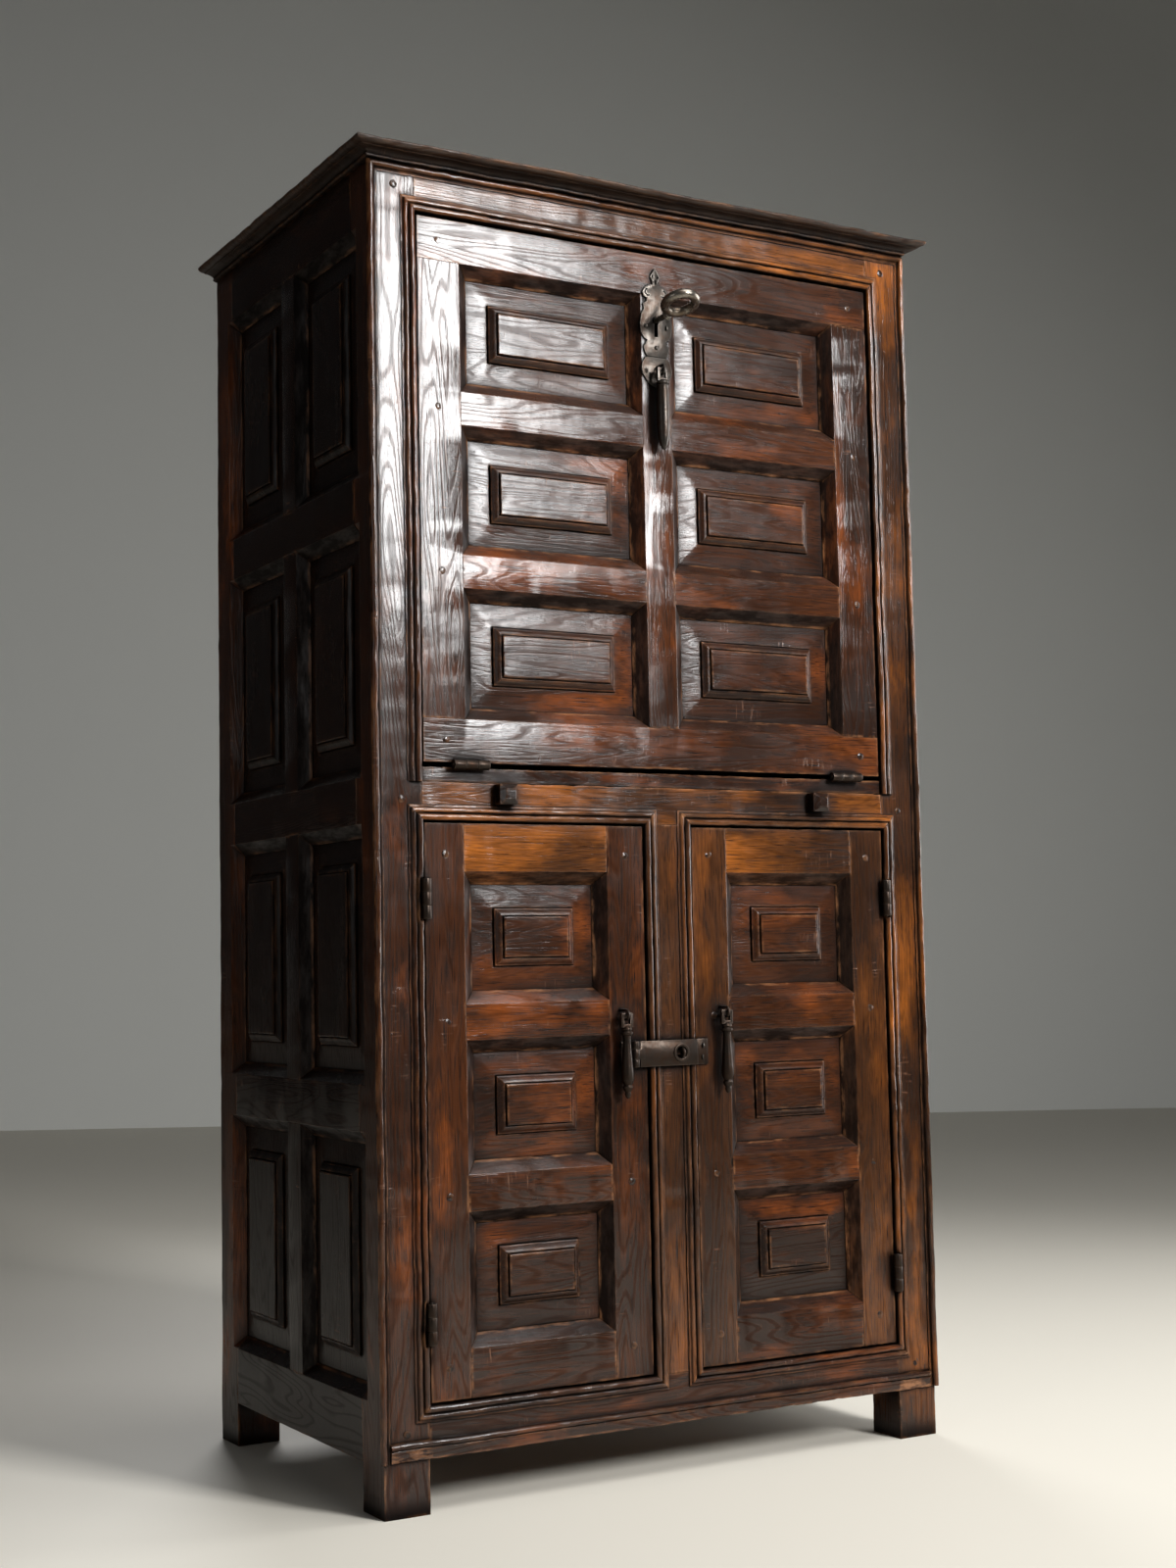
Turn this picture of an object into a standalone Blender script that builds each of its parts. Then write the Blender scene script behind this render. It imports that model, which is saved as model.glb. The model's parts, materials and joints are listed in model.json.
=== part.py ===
"""Fall-front cabinet: a panelled walnut cupboard with a drop front above and two doors below.

Metres, +Z up, the front faces -Y and the feet stand on z = 0.  Depths below are measured back
from the face of the front frame; the last lines move everything so that the box of the whole
cabinet is centred over the origin.
"""
import math

import bmesh
import bpy
from mathutils import Vector

MM = 0.001

# Clearance between pieces that touch in the real cabinet
GAP = 0.3 * MM

# Carcass
HALF_WIDTH = 390 * MM
DEPTH = 512 * MM
FRAME_TOP = 1560 * MM
FOOT_HEIGHT = 62 * MM
POST = 57 * MM
FRAME_THICK = 30 * MM
TOP_RAIL = 54.5 * MM
MIDDLE_RAIL = 45 * MM
MIDDLE_RAIL_TOP = 828 * MM
BOTTOM_RAIL = 58 * MM
CENTRE_POST = 66 * MM
LIP_HEIGHT = 17.5 * MM
LIP_SETBACK = 2 * MM
BOARD = 18 * MM

# Openings of the front frame, worked out from the members around them
OPENING_HALF = HALF_WIDTH - POST
FLAP_OPENING_TOP = FRAME_TOP - TOP_RAIL
FLAP_OPENING_BOTTOM = MIDDLE_RAIL_TOP + LIP_HEIGHT
DOOR_OPENING_TOP = MIDDLE_RAIL_TOP - MIDDLE_RAIL
DOOR_OPENING_BOTTOM = FOOT_HEIGHT + BOTTOM_RAIL

# Panelled frames: the chamfer runs round every opening, the panel tongue sits in a groove
LEAF_THICK = 26 * MM
CHAMFER = 15 * MM
CHAMFER_DEPTH = 13.5 * MM
GROOVE_FRONT = 14.2 * MM
GROOVE_BACK = 20.8 * MM
GROOVE_DEEP = 8 * MM
TENON = 24 * MM
TENON_FRONT = 9 * MM
TENON_BACK = 17.5 * MM
TENON_SHOULDER = 12 * MM
BORDER = 27 * MM
# Raised tablet of a panel: width in from its foot, height above its foot
TABLET = [(0, 0), (0.4, 2.5), (2.4, 2.7), (4.2, 5.0), (6.8, 7.0), (10.0, 8.2), (12.0, 8.4),
          (12.4, 9.7), (16.0, 9.9)]
TABLET_FOOT = 12.3 * MM

# Fall front
FLAP_GAP_SIDE = 3 * MM
FLAP_GAP_TOP = 3.5 * MM
FLAP_GAP_BOTTOM = 6 * MM
FLAP_STILE = 70 * MM
FLAP_END_RAIL = 66 * MM
FLAP_CROSS_RAIL = 70 * MM
FLAP_MUNTIN = 72 * MM

# Lower doors
DOOR_GAP_SIDE = 2.5 * MM
DOOR_GAP_TOP = 2.8 * MM
DOOR_GAP_BOTTOM = 2.2 * MM
DOOR_STILE = 66 * MM
DOOR_END_RAIL = 71 * MM
DOOR_CROSS_RAIL = 72 * MM

# Panelled sides
SIDE_THICK = 26 * MM
SIDE_RAIL = 84 * MM
SIDE_END_RAIL = 85 * MM
SIDE_MUNTIN = 70 * MM
SIDE_BOTTOM = 55 * MM
SIDE_ROWS = 4
SIDE_TONGUE = 10 * MM
SIDE_TONGUE_FRONT = 16.5 * MM
SIDE_TONGUE_BACK = 22.5 * MM
BACK_TONGUE_FRONT = 5 * MM
BACK_TONGUE_BACK = 11 * MM

# Rolled iron hinges
BARREL = 6 * MM
PIN = 2.9 * MM
KNUCKLE = 15 * MM
KNUCKLE_GAP = 0.5 * MM
STRAP = 1.7 * MM
STRAP_LENGTH = 28 * MM
HINGE_FORWARD = 6.7 * MM
FLAP_HINGE_X = OPENING_HALF - 61 * MM
DOOR_HINGE_Z = (DOOR_OPENING_BOTTOM + 91 * MM, DOOR_OPENING_TOP - 91 * MM)

# Pull-out supports of the fall front
LOPER_X = OPENING_HALF - 107 * MM
LOPER_WIDTH = 20 * MM
LOPER_HEIGHT = 19 * MM
LOPER_Z = MIDDLE_RAIL_TOP - 13.5 * MM
LOPER_LENGTH = 330 * MM
LOPER_HEAD = 24 * MM
LOPER_HEAD_REACH = 20 * MM
GUIDE_LENGTH = 350 * MM
GUIDE_WALL = 8 * MM

# Lock, key and drop pulls
PLATE_THICK = 2 * MM
PLATE_Z = FLAP_OPENING_TOP - 95.5 * MM
KEY_Z = PLATE_Z + 8 * MM
KEY_SHANK = 3.8 * MM
KEY_BOW_FORWARD = 64 * MM
KEY_BOW_HALF = (22 * MM, 16 * MM)
LOCK_CASE_HALF = 24 * MM
LOCK_CASE_LOW = PLATE_Z - 38 * MM
LOCK_CASE_DEPTH = 20 * MM
LOCK_WALL = 2 * MM
BOLT_HALF = 9 * MM
BOLT_THICK = 6 * MM
BOLT_THROW = 13 * MM
PULL_FORWARD = 14.5 * MM
PULL_EYE_HALF = 8 * MM
PULL_BAR = 4.4 * MM
STAPLE_WIRE = 1.9 * MM
STAPLE_LOOP = 5.6 * MM
FLAP_PULL_Z = PLATE_Z - 58 * MM
DOOR_PULL_Z = DOOR_OPENING_TOP - 231 * MM
DOOR_PULL_X = CENTRE_POST / 2 + 39 * MM

# Hasp that joins the doors over the centre post
HASP_Z = DOOR_PULL_Z - 48 * MM
HASP_HEIGHT = 31 * MM
HASP_THICK = 3 * MM
HASP_PIVOT_X = -CENTRE_POST / 2 - 22.5 * MM
HASP_END_X = CENTRE_POST / 2 - 0.5 * MM
HASP_BARREL = 5.6 * MM
HASP_PIN = 2.4 * MM
HASP_HOLE_X = 9 * MM
HASP_HOLE = 7.5 * MM
CENTRE_STAPLE_WIRE = 1.8 * MM
CENTRE_STAPLE_LOOP = 4.4 * MM
CENTRE_STAPLE_REACH = 11 * MM

# Inside
SHELF_THICK = 16 * MM
SHELF_FRONT = 60 * MM
HOUSING = 6 * MM
BACK_SETBACK = 8 * MM
BACK_THICK = 16 * MM
BACK_BOTTOM = 70 * MM
BACK_BOARDS = 5

# Faces of the ironwork that meet at less than this many degrees are shaded as one curve
SMOOTH_BELOW = 35

# Finishes: colour, metallic, roughness
WALNUT = ((0.115, 0.055, 0.030), 0.0, 0.45)
WALNUT_DARK = ((0.070, 0.034, 0.020), 0.0, 0.5)
PINE = ((0.30, 0.19, 0.10), 0.0, 0.7)
IRON = ((0.060, 0.055, 0.050), 0.9, 0.5)
STEEL = ((0.20, 0.18, 0.15), 1.0, 0.3)


# Building tools

def clear_scene():
    for obj in list(bpy.data.objects):
        bpy.data.objects.remove(obj, do_unlink=True)


def front(u, d, w):
    """A place on the front: across, back from the face, up."""
    return Vector((u, d, w))


def left_side(u, d, w):
    """A place on the left side: back from the front, in from the outer face, up."""
    return Vector((-HALF_WIDTH + d, u, w))


def right_side(u, d, w):
    return Vector((HALF_WIDTH - d, u, w))


def add_rings(bm, rings):
    """Joins a row of equal rings of points with faces and closes the two ends."""
    loops = [[bm.verts.new(p) for p in ring] for ring in rings]
    for low, high in zip(loops, loops[1:]):
        for i in range(len(low)):
            j = (i + 1) % len(low)
            bm.faces.new((low[i], low[j], high[j], high[i]))
    bm.faces.new(loops[0])
    bm.faces.new(loops[-1])


def add_block(bm, at, u0, u1, d0, d1, w0, w1):
    rings = [[at(u0, d, w0), at(u1, d, w0), at(u1, d, w1), at(u0, d, w1)] for d in (d0, d1)]
    add_rings(bm, rings)


def add_rect_loft(bm, at, u, w, half_u, half_w, steps):
    """Rectangles round one centre; each step is (growth of the half sizes, depth)."""
    rings = []
    for grow, depth in steps:
        a, b = half_u + grow, half_w + grow
        rings.append([at(u - a, depth, w - b), at(u + a, depth, w - b),
                      at(u + a, depth, w + b), at(u - a, depth, w + b)])
    add_rings(bm, rings)


def add_prism(bm, place, outline, a0, a1, holes=()):
    """An outline with holes, drawn out from a0 to a1; place(p, q, a) gives the point."""
    ends = []
    for a in (a0, a1):
        loops = []
        edges = []
        for loop in (outline, *holes):
            verts = [bm.verts.new(place(p, q, a)) for p, q in loop]
            edges += [bm.edges.new((verts[i - 1], verts[i])) for i in range(len(verts))]
            loops.append(verts)
        if holes:
            bmesh.ops.triangle_fill(bm, use_beauty=True, edges=edges)
        else:
            bm.faces.new(loops[0])
        ends.append(loops)
    for low, high in zip(*ends):
        for i in range(len(low)):
            bm.faces.new((low[i - 1], low[i], high[i], high[i - 1]))


def add_tube(bm, path, radius, normal, sides=8, closed=False):
    """A round wire along a flat path; normal is square to the plane of the path."""
    rings = []
    count = len(path)
    for i, point in enumerate(path):
        before = path[i - 1] if closed or i else point
        after = path[(i + 1) % count] if closed or i < count - 1 else point
        across = (after - before).normalized().cross(normal)
        ring = []
        for k in range(sides):
            turn = 2 * math.pi * k / sides
            ring.append(point + radius * (math.cos(turn) * normal + math.sin(turn) * across))
        rings.append(ring)
    if not closed:
        add_rings(bm, rings)
        return
    loops = [[bm.verts.new(p) for p in ring] for ring in rings]
    for i in range(count):
        low, high = loops[i - 1], loops[i]
        for k in range(sides):
            bm.faces.new((low[k - 1], low[k], high[k], high[k - 1]))


def add_turning(bm, place, profile, sides=14):
    """A turned piece; the profile is (radius, distance along the axis), from end to end."""
    rings = []
    for radius, along in profile:
        rings.append([place(radius * math.cos(2 * math.pi * k / sides),
                            radius * math.sin(2 * math.pi * k / sides), along)
                      for k in range(sides)])
    add_rings(bm, rings)


def circle(p, q, radius, sides=16):
    return [(p + radius * math.cos(2 * math.pi * k / sides),
             q + radius * math.sin(2 * math.pi * k / sides)) for k in range(sides)]


def reed(u0, u1, base, height, steps=6):
    """A half-round reed as part of a moulding profile."""
    middle, half = (u0 + u1) / 2, (u1 - u0) / 2
    turns = [math.pi * i / steps for i in range(steps + 1)]
    return [(middle - half * math.cos(t), base + height * math.sin(t)) for t in turns]


def make(name, bm, finish, pivot=(0, 0, 0), cuts=(), joins=()):
    """Turns the collected solids into one named object with its own material."""
    bmesh.ops.recalc_face_normals(bm, faces=bm.faces)
    bmesh.ops.translate(bm, verts=bm.verts, vec=-Vector(pivot))
    mesh = bpy.data.meshes.new(name)
    bm.to_mesh(mesh)
    bm.free()
    obj = bpy.data.objects.new(name, mesh)
    obj.location = pivot
    bpy.context.collection.objects.link(obj)
    if finish:
        colour, metallic, roughness = finish
        material = bpy.data.materials.new(name + "_finish")
        material.use_nodes = True
        shader = material.node_tree.nodes["Principled BSDF"]
        shader.inputs["Base Color"].default_value = (*colour, 1)
        shader.inputs["Metallic"].default_value = metallic
        shader.inputs["Roughness"].default_value = roughness
        mesh.materials.append(material)
    if finish in (IRON, STEEL):
        mesh.shade_smooth()
        mesh.set_sharp_from_angle(angle=math.radians(SMOOTH_BELOW))
    for other, operation in [(j, "UNION") for j in joins] + [(c, "DIFFERENCE") for c in cuts]:
        modifier = obj.modifiers.new(other.name, "BOOLEAN")
        modifier.object = other
        modifier.operation = operation
        modifier.solver = "EXACT"
    return obj


def cutter(name, bm):
    """A hidden helper solid that another piece is cut by or joined with."""
    obj = make(name, bm, None)
    obj.hide_render = True
    obj.display_type = "WIRE"
    return obj


clear_scene()


# Panelled frames: chamfered openings and fielded panels

def ring_along(at, along, a, b0, b1, d0, d1):
    """A rectangle square to a rail (along "u") or an upright (along "w")."""
    corners = ((b0, d0), (b1, d0), (b1, d1), (b0, d1))
    if along == "u":
        return [at(a, d, b) for b, d in corners]
    return [at(b, d, a) for b, d in corners]


def add_member(bm, at, along, a0, a1, b0, b1, d0, d1, mortises, tenon=TENON, near=TENON_FRONT,
               far=TENON_BACK, shoulder=TENON_SHOULDER):
    """A member between the shoulders a0 and a1 with a tenon at each end.

    The matching mortises go into another mesh."""
    whole = (b0, b1, d0, d1)
    near += d0
    far += d0
    middle = (b0 + shoulder, b1 - shoulder, near, far)
    room = (b0 + shoulder - GAP, b1 - shoulder + GAP, near - GAP, far + GAP)
    places = ((a0 - tenon, middle), (a0, middle), (a0, whole), (a1, whole), (a1, middle),
              (a1 + tenon, middle))
    add_rings(bm, [ring_along(at, along, a, *size) for a, size in places])
    for shoulder_at, end in ((a0, a0 - tenon - GAP), (a1, a1 + tenon + GAP)):
        low, high = sorted((shoulder_at, end))
        add_rings(mortises, [ring_along(at, along, a, *room) for a in (low, high)])


def add_opening(bm, at, u, w, half_u, half_w, thick):
    """The room that a panel opening takes out of its frame: chamfer, sight edge and groove."""
    over = 2 * MM
    slope = CHAMFER / CHAMFER_DEPTH
    steps = [(CHAMFER + over * slope, -over), (0, CHAMFER_DEPTH), (0, GROOVE_FRONT),
             (GROOVE_DEEP + GAP, GROOVE_FRONT), (GROOVE_DEEP + GAP, GROOVE_BACK),
             (0, GROOVE_BACK), (0, thick + over)]
    add_rect_loft(bm, at, u, w, half_u, half_w, steps)


def tablet_steps():
    """The raised tablet of a panel, from its foot to its flat top."""
    return [(-BORDER - inward * MM, TABLET_FOOT - raised * MM) for inward, raised in TABLET]


def add_panel(bm, at, u, w, half_u, half_w):
    """A fielded panel: tongue, sloping border, raised and moulded tablet."""
    steps = [(GROOVE_DEEP, GROOVE_BACK - GAP), (GROOVE_DEEP, GROOVE_FRONT + GAP),
             (0, GROOVE_FRONT + GAP)]
    add_rect_loft(bm, at, u, w, half_u, half_w, steps + tablet_steps())


def add_carving(bm, at, u, w, half_u, half_w):
    """The room in front of a panel that is worked from one piece with its frame."""
    over = 2 * MM
    slope = CHAMFER / CHAMFER_DEPTH
    steps = [(CHAMFER + over * slope, -over), (-0.3 * MM, CHAMFER_DEPTH + 0.3 * MM / slope),
             (-0.3 * MM, GROOVE_FRONT + GAP)]
    add_rect_loft(bm, at, u, w, half_u, half_w, steps + tablet_steps())


def grid_centres(low, high, end, between, count):
    """Half size and centres of the sight openings between the members of a frame."""
    half = (high - low - 2 * end - (count - 1) * between) / count / 2
    return half, [low + end + half + i * (2 * half + between) for i in range(count)]


def on_face(p, q, a):
    """A drawing on the front: across, up, and back from the face."""
    return Vector((p, a, q))


def flat_plan(p, q, a):
    """A plan: across, back from the face, and up."""
    return Vector((p, q, a))


# Fall front: a frame of two stiles, a muntin and four rows of rails, with six panels

FLAP_HALF = OPENING_HALF - FLAP_GAP_SIDE
FLAP_BOTTOM = FLAP_OPENING_BOTTOM + FLAP_GAP_BOTTOM
FLAP_TOP = FLAP_OPENING_TOP - FLAP_GAP_TOP
FLAP_AXIS = Vector((0, -HINGE_FORWARD, (FLAP_OPENING_BOTTOM + FLAP_BOTTOM) / 2))
CASE_FRONT = LEAF_THICK - LOCK_CASE_DEPTH
CASE_TOP = FLAP_TOP - GAP

flap_half_u, flap_columns = grid_centres(-FLAP_HALF, FLAP_HALF, FLAP_STILE, FLAP_MUNTIN, 2)
flap_half_w, flap_rows = grid_centres(FLAP_BOTTOM, FLAP_TOP, FLAP_END_RAIL, FLAP_CROSS_RAIL, 3)
openings = bmesh.new()
for column, u in zip(("left", "right"), flap_columns):
    for row, w in zip(("lower", "middle", "upper"), flap_rows):
        add_opening(openings, front, u, w, flap_half_u, flap_half_w, LEAF_THICK)
        panel = bmesh.new()
        add_panel(panel, front, u, w, flap_half_u, flap_half_w)
        make(f"flap_panel_{column}_{row}", panel, WALNUT, FLAP_AXIS)
flap_openings = cutter("cut_flap_openings", openings)

lock_room = bmesh.new()
add_block(lock_room, front, -LOCK_CASE_HALF - GAP, LOCK_CASE_HALF + GAP, CASE_FRONT - GAP,
          LEAF_THICK + MM, LOCK_CASE_LOW - GAP, FLAP_TOP + MM)
for end in (-1, 1):
    add_prism(lock_room, on_face,
              circle(0, FLAP_PULL_Z + end * STAPLE_LOOP, STAPLE_WIRE + GAP, 8),
              -MM, LEAF_THICK + MM)
lock_room = cutter("cut_flap_lock_room", lock_room)
key_way = bmesh.new()
add_block(key_way, front, -5 * MM, 5 * MM, -MM, CASE_FRONT + MM, KEY_Z - 22 * MM, KEY_Z + 7 * MM)
key_way = cutter("cut_flap_key_way", key_way)
frame = bmesh.new()
add_block(frame, front, -FLAP_HALF, FLAP_HALF, 0, LEAF_THICK, FLAP_BOTTOM, FLAP_TOP)
make("flap_frame", frame, WALNUT, FLAP_AXIS, cuts=[flap_openings, lock_room, key_way])


# Lower doors: two stiles and four rails round three panels

DOOR_OUTER = OPENING_HALF - DOOR_GAP_SIDE
DOOR_INNER = CENTRE_POST / 2 + DOOR_GAP_SIDE
DOOR_BOTTOM = DOOR_OPENING_BOTTOM + DOOR_GAP_BOTTOM
DOOR_TOP = DOOR_OPENING_TOP - DOOR_GAP_TOP
DOOR_AXIS_X = OPENING_HALF - DOOR_GAP_SIDE / 2
SIDES = (("left", -1), ("right", 1))


def door_axis(side):
    return Vector((side * DOOR_AXIS_X, -HINGE_FORWARD, DOOR_BOTTOM))


def add_strap_recess(bm, side, into, centre):
    """The shallow recess that lets a hinge strap into an edge of the wood."""
    face = side * DOOR_AXIS_X + into * DOOR_GAP_SIDE / 2
    edges = sorted((face - into * MM, face + into * (STRAP + 1.5 * GAP)))
    add_block(bm, front, *edges, -MM, STRAP_LENGTH - HINGE_FORWARD + 2 * GAP,
              centre - KNUCKLE / 2 - GAP, centre + KNUCKLE / 2 + GAP)


OUTER_KNUCKLE = KNUCKLE + KNUCKLE_GAP
for name, side in SIDES:
    low_u, high_u = sorted((side * DOOR_OUTER, side * DOOR_INNER))
    half_u = (high_u - low_u) / 2 - DOOR_STILE
    u = (low_u + high_u) / 2
    half_w, rows = grid_centres(DOOR_BOTTOM, DOOR_TOP, DOOR_END_RAIL, DOOR_CROSS_RAIL, 3)
    openings = bmesh.new()
    for row, w in zip(("lower", "middle", "upper"), rows):
        add_opening(openings, front, u, w, half_u, half_w, LEAF_THICK)
        panel = bmesh.new()
        add_panel(panel, front, u, w, half_u, half_w)
        make(f"{name}_door_panel_{row}", panel, WALNUT, door_axis(side))
    openings = cutter(f"cut_{name}_door_openings", openings)
    fittings = bmesh.new()
    for z in DOOR_HINGE_Z:
        add_strap_recess(fittings, side, -side, z)
    for end in (-1, 1):
        add_prism(fittings, on_face,
                  circle(side * DOOR_PULL_X, DOOR_PULL_Z + end * STAPLE_LOOP, STAPLE_WIRE + GAP, 8),
                  -MM, LEAF_THICK + MM)
    fittings = cutter(f"cut_{name}_door_fittings", fittings)
    frame = bmesh.new()
    add_block(frame, front, low_u, high_u, 0, LEAF_THICK, DOOR_BOTTOM, DOOR_TOP)
    make(f"{name}_door_frame", frame, WALNUT, door_axis(side), cuts=[openings, fittings])


# Mouldings: reeded profiles worked on the posts and rails, mitred where they meet

INNER_MOULDING = [(0, -1)] + reed(0, 8, 1.8, 3.4) + reed(8.4, 15, 1.5, 2.7)
INNER_MOULDING += [(15.4, 1.2), (18, 1.2), (18, -1)]
EDGE_BEAD = [(0, 0.3)] + reed(0, 8.5, 0.9, 4.8) + [(9, 1.2), (12.5, 1.2), (12.5, -1), (5.2, -1),
                                                  (5.2, 0.3)]
BASE_BEAD = [(0, -1), (0, 2.6), (12.5, 3.0)] + reed(13, 20.6, 1.2, 3.6) + [(21.5, 0), (21.5, -1)]
BEAD_OVERHANG = 5 * MM
BEAD_WIDTH = 12.5 * MM
MITRE_GAP = GAP * 0.6


def add_strip(bm, profile, start, finish):
    """A length of moulding between two end cuts, each a place for (across, proud)."""
    points = [(u * MM, v * MM) for u, v in profile]
    add_rings(bm, [[start(u, v) for u, v in points], [finish(u, v) for u, v in points]])


def add_upright_moulding(bm, x, out, low, high, low_mitre=1, high_mitre=1):
    """The moulding beside an opening; it runs out from the edge x."""
    cut = MITRE_GAP
    add_strip(bm, INNER_MOULDING,
              lambda u, v: Vector((x + out * u, -v, low + low_mitre * (cut - u))),
              lambda u, v: Vector((x + out * u, -v, high - high_mitre * (cut - u))))


def add_level_moulding(bm, z, out, x0, x1):
    """The moulding above or below an opening; it runs out from the level z."""
    cut = MITRE_GAP
    add_strip(bm, INNER_MOULDING,
              lambda u, v: Vector((x0 - u + cut, -v, z + out * u)),
              lambda u, v: Vector((x1 + u - cut, -v, z + out * u)))


DOOR_OPENINGS = ((-OPENING_HALF, -CENTRE_POST / 2), (CENTRE_POST / 2, OPENING_HALF))
bead_out = HALF_WIDTH + BEAD_OVERHANG
bead_top = FRAME_TOP - GAP

top_mouldings = bmesh.new()
add_level_moulding(top_mouldings, FLAP_OPENING_TOP, 1, -OPENING_HALF, OPENING_HALF)
top_mouldings = cutter("join_top_rail_moulding", top_mouldings)
top_bead = bmesh.new()
add_strip(top_bead, EDGE_BEAD[:-2] + [(0, -1)],
          lambda u, v: Vector((-bead_out + u + MITRE_GAP, -v, bead_top - u)),
          lambda u, v: Vector((bead_out - u - MITRE_GAP, -v, bead_top - u)))
top_bead = cutter("join_top_rail_bead", top_bead)
middle_mouldings = bmesh.new()
bottom_mouldings = bmesh.new()
for x0, x1 in DOOR_OPENINGS:
    add_level_moulding(middle_mouldings, DOOR_OPENING_TOP, 1, x0, x1)
    add_level_moulding(bottom_mouldings, DOOR_OPENING_BOTTOM, -1, x0, x1)
base_end = bead_out - BEAD_WIDTH - GAP
add_strip(bottom_mouldings, BASE_BEAD, lambda u, v: Vector((-base_end, -v, FOOT_HEIGHT + u)),
          lambda u, v: Vector((base_end, -v, FOOT_HEIGHT + u)))
middle_mouldings = cutter("join_middle_rail_moulding", middle_mouldings)
bottom_mouldings = cutter("join_bottom_rail_moulding", bottom_mouldings)
centre_mouldings = bmesh.new()
for out in (-1, 1):
    add_upright_moulding(centre_mouldings, out * CENTRE_POST / 2, -out, DOOR_OPENING_BOTTOM,
                         DOOR_OPENING_TOP)
centre_mouldings = cutter("join_centre_post_moulding", centre_mouldings)

# Room that keeps an overlapping moulding clear of the face of the next member
post_faces = bmesh.new()
for side in (-1, 1):
    edges = sorted((side * (OPENING_HALF - GAP), side * (HALF_WIDTH + 10 * MM)))
    add_block(post_faces, front, *edges, -GAP, 3 * MM, 0, FRAME_TOP + MM)
post_faces = cutter("cut_post_faces", post_faces)
rail_faces = bmesh.new()
for low, high in ((FOOT_HEIGHT, DOOR_OPENING_BOTTOM + GAP), (DOOR_OPENING_TOP - GAP, MIDDLE_RAIL_TOP)):
    add_block(rail_faces, front, -CENTRE_POST, CENTRE_POST, -GAP, 3 * MM, low, high)
rail_faces = cutter("cut_rail_faces", rail_faces)


# Front rails and centre post, tenoned into the posts and into each other

post_mortises = bmesh.new()
centre_mortises = bmesh.new()
rail_face = OPENING_HALF - GAP
rails = {}
for name, low, high in (("top", FLAP_OPENING_TOP, FRAME_TOP),
                        ("middle", DOOR_OPENING_TOP, MIDDLE_RAIL_TOP),
                        ("bottom", FOOT_HEIGHT, DOOR_OPENING_BOTTOM)):
    rails[name] = bmesh.new()
    add_member(rails[name], front, "u", -rail_face, rail_face, low, high, 0, FRAME_THICK,
               post_mortises)
centre = bmesh.new()
add_member(centre, front, "w", DOOR_OPENING_BOTTOM + GAP, DOOR_OPENING_TOP - GAP,
           -CENTRE_POST / 2, CENTRE_POST / 2, 0, FRAME_THICK, centre_mortises)
centre_mortises = cutter("cut_centre_post_mortises", centre_mortises)

loper_holes = bmesh.new()
for side in (-1, 1):
    add_block(loper_holes, front, side * LOPER_X - LOPER_WIDTH / 2 - GAP,
              side * LOPER_X + LOPER_WIDTH / 2 + GAP, -MM, FRAME_THICK + MM,
              LOPER_Z - LOPER_HEIGHT / 2 - GAP, LOPER_Z + LOPER_HEIGHT / 2 + GAP)
loper_holes = cutter("cut_loper_holes", loper_holes)

BOLT_BACK = LEAF_THICK - LOCK_WALL - GAP
BOLT_FRONT = BOLT_BACK - BOLT_THICK
bolt_mortise = bmesh.new()
add_block(bolt_mortise, front, -BOLT_HALF - MM, BOLT_HALF + MM, BOLT_FRONT - MM, BOLT_BACK + MM,
          FLAP_OPENING_TOP - MM, FLAP_OPENING_TOP + BOLT_THROW + 2 * MM)
bolt_mortise = cutter("cut_bolt_mortise", bolt_mortise)

staple_holes = bmesh.new()
for end in (-1, 1):
    add_prism(staple_holes, on_face,
              circle(HASP_HOLE_X, HASP_Z + end * CENTRE_STAPLE_LOOP, CENTRE_STAPLE_WIRE + GAP, 8),
              -2 * MM, FRAME_THICK + MM)
staple_holes = cutter("cut_centre_staple_holes", staple_holes)

make("front_top_rail", rails["top"], WALNUT, joins=[top_mouldings, top_bead],
     cuts=[post_faces, bolt_mortise])
make("front_middle_rail", rails["middle"], WALNUT, joins=[middle_mouldings],
     cuts=[post_faces, centre_mortises, loper_holes])
make("front_bottom_rail", rails["bottom"], WALNUT, joins=[bottom_mouldings],
     cuts=[post_faces, centre_mortises])
make("centre_post", centre, WALNUT, joins=[centre_mouldings], cuts=[rail_faces, staple_holes])


# Sides: two columns of four fielded panels with their framing, tongued into the posts

SIDE_FRONT = POST
SIDE_BACK = DEPTH - POST
INSIDE_HALF = HALF_WIDTH - SIDE_THICK
BACK_FRONT = DEPTH - BACK_SETBACK - BACK_THICK
side_half_u, side_columns = grid_centres(SIDE_FRONT, SIDE_BACK, 0, SIDE_MUNTIN, 2)
side_half_w, side_rows = grid_centres(SIDE_BOTTOM, FRAME_TOP, SIDE_END_RAIL, SIDE_RAIL, SIDE_ROWS)
BOTTOM_BOARD_LOW = DOOR_OPENING_BOTTOM - BOARD
board_levels = [(BOTTOM_BOARD_LOW, DOOR_OPENING_BOTTOM),
                (MIDDLE_RAIL_TOP + GAP, FLAP_OPENING_BOTTOM)]
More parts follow.
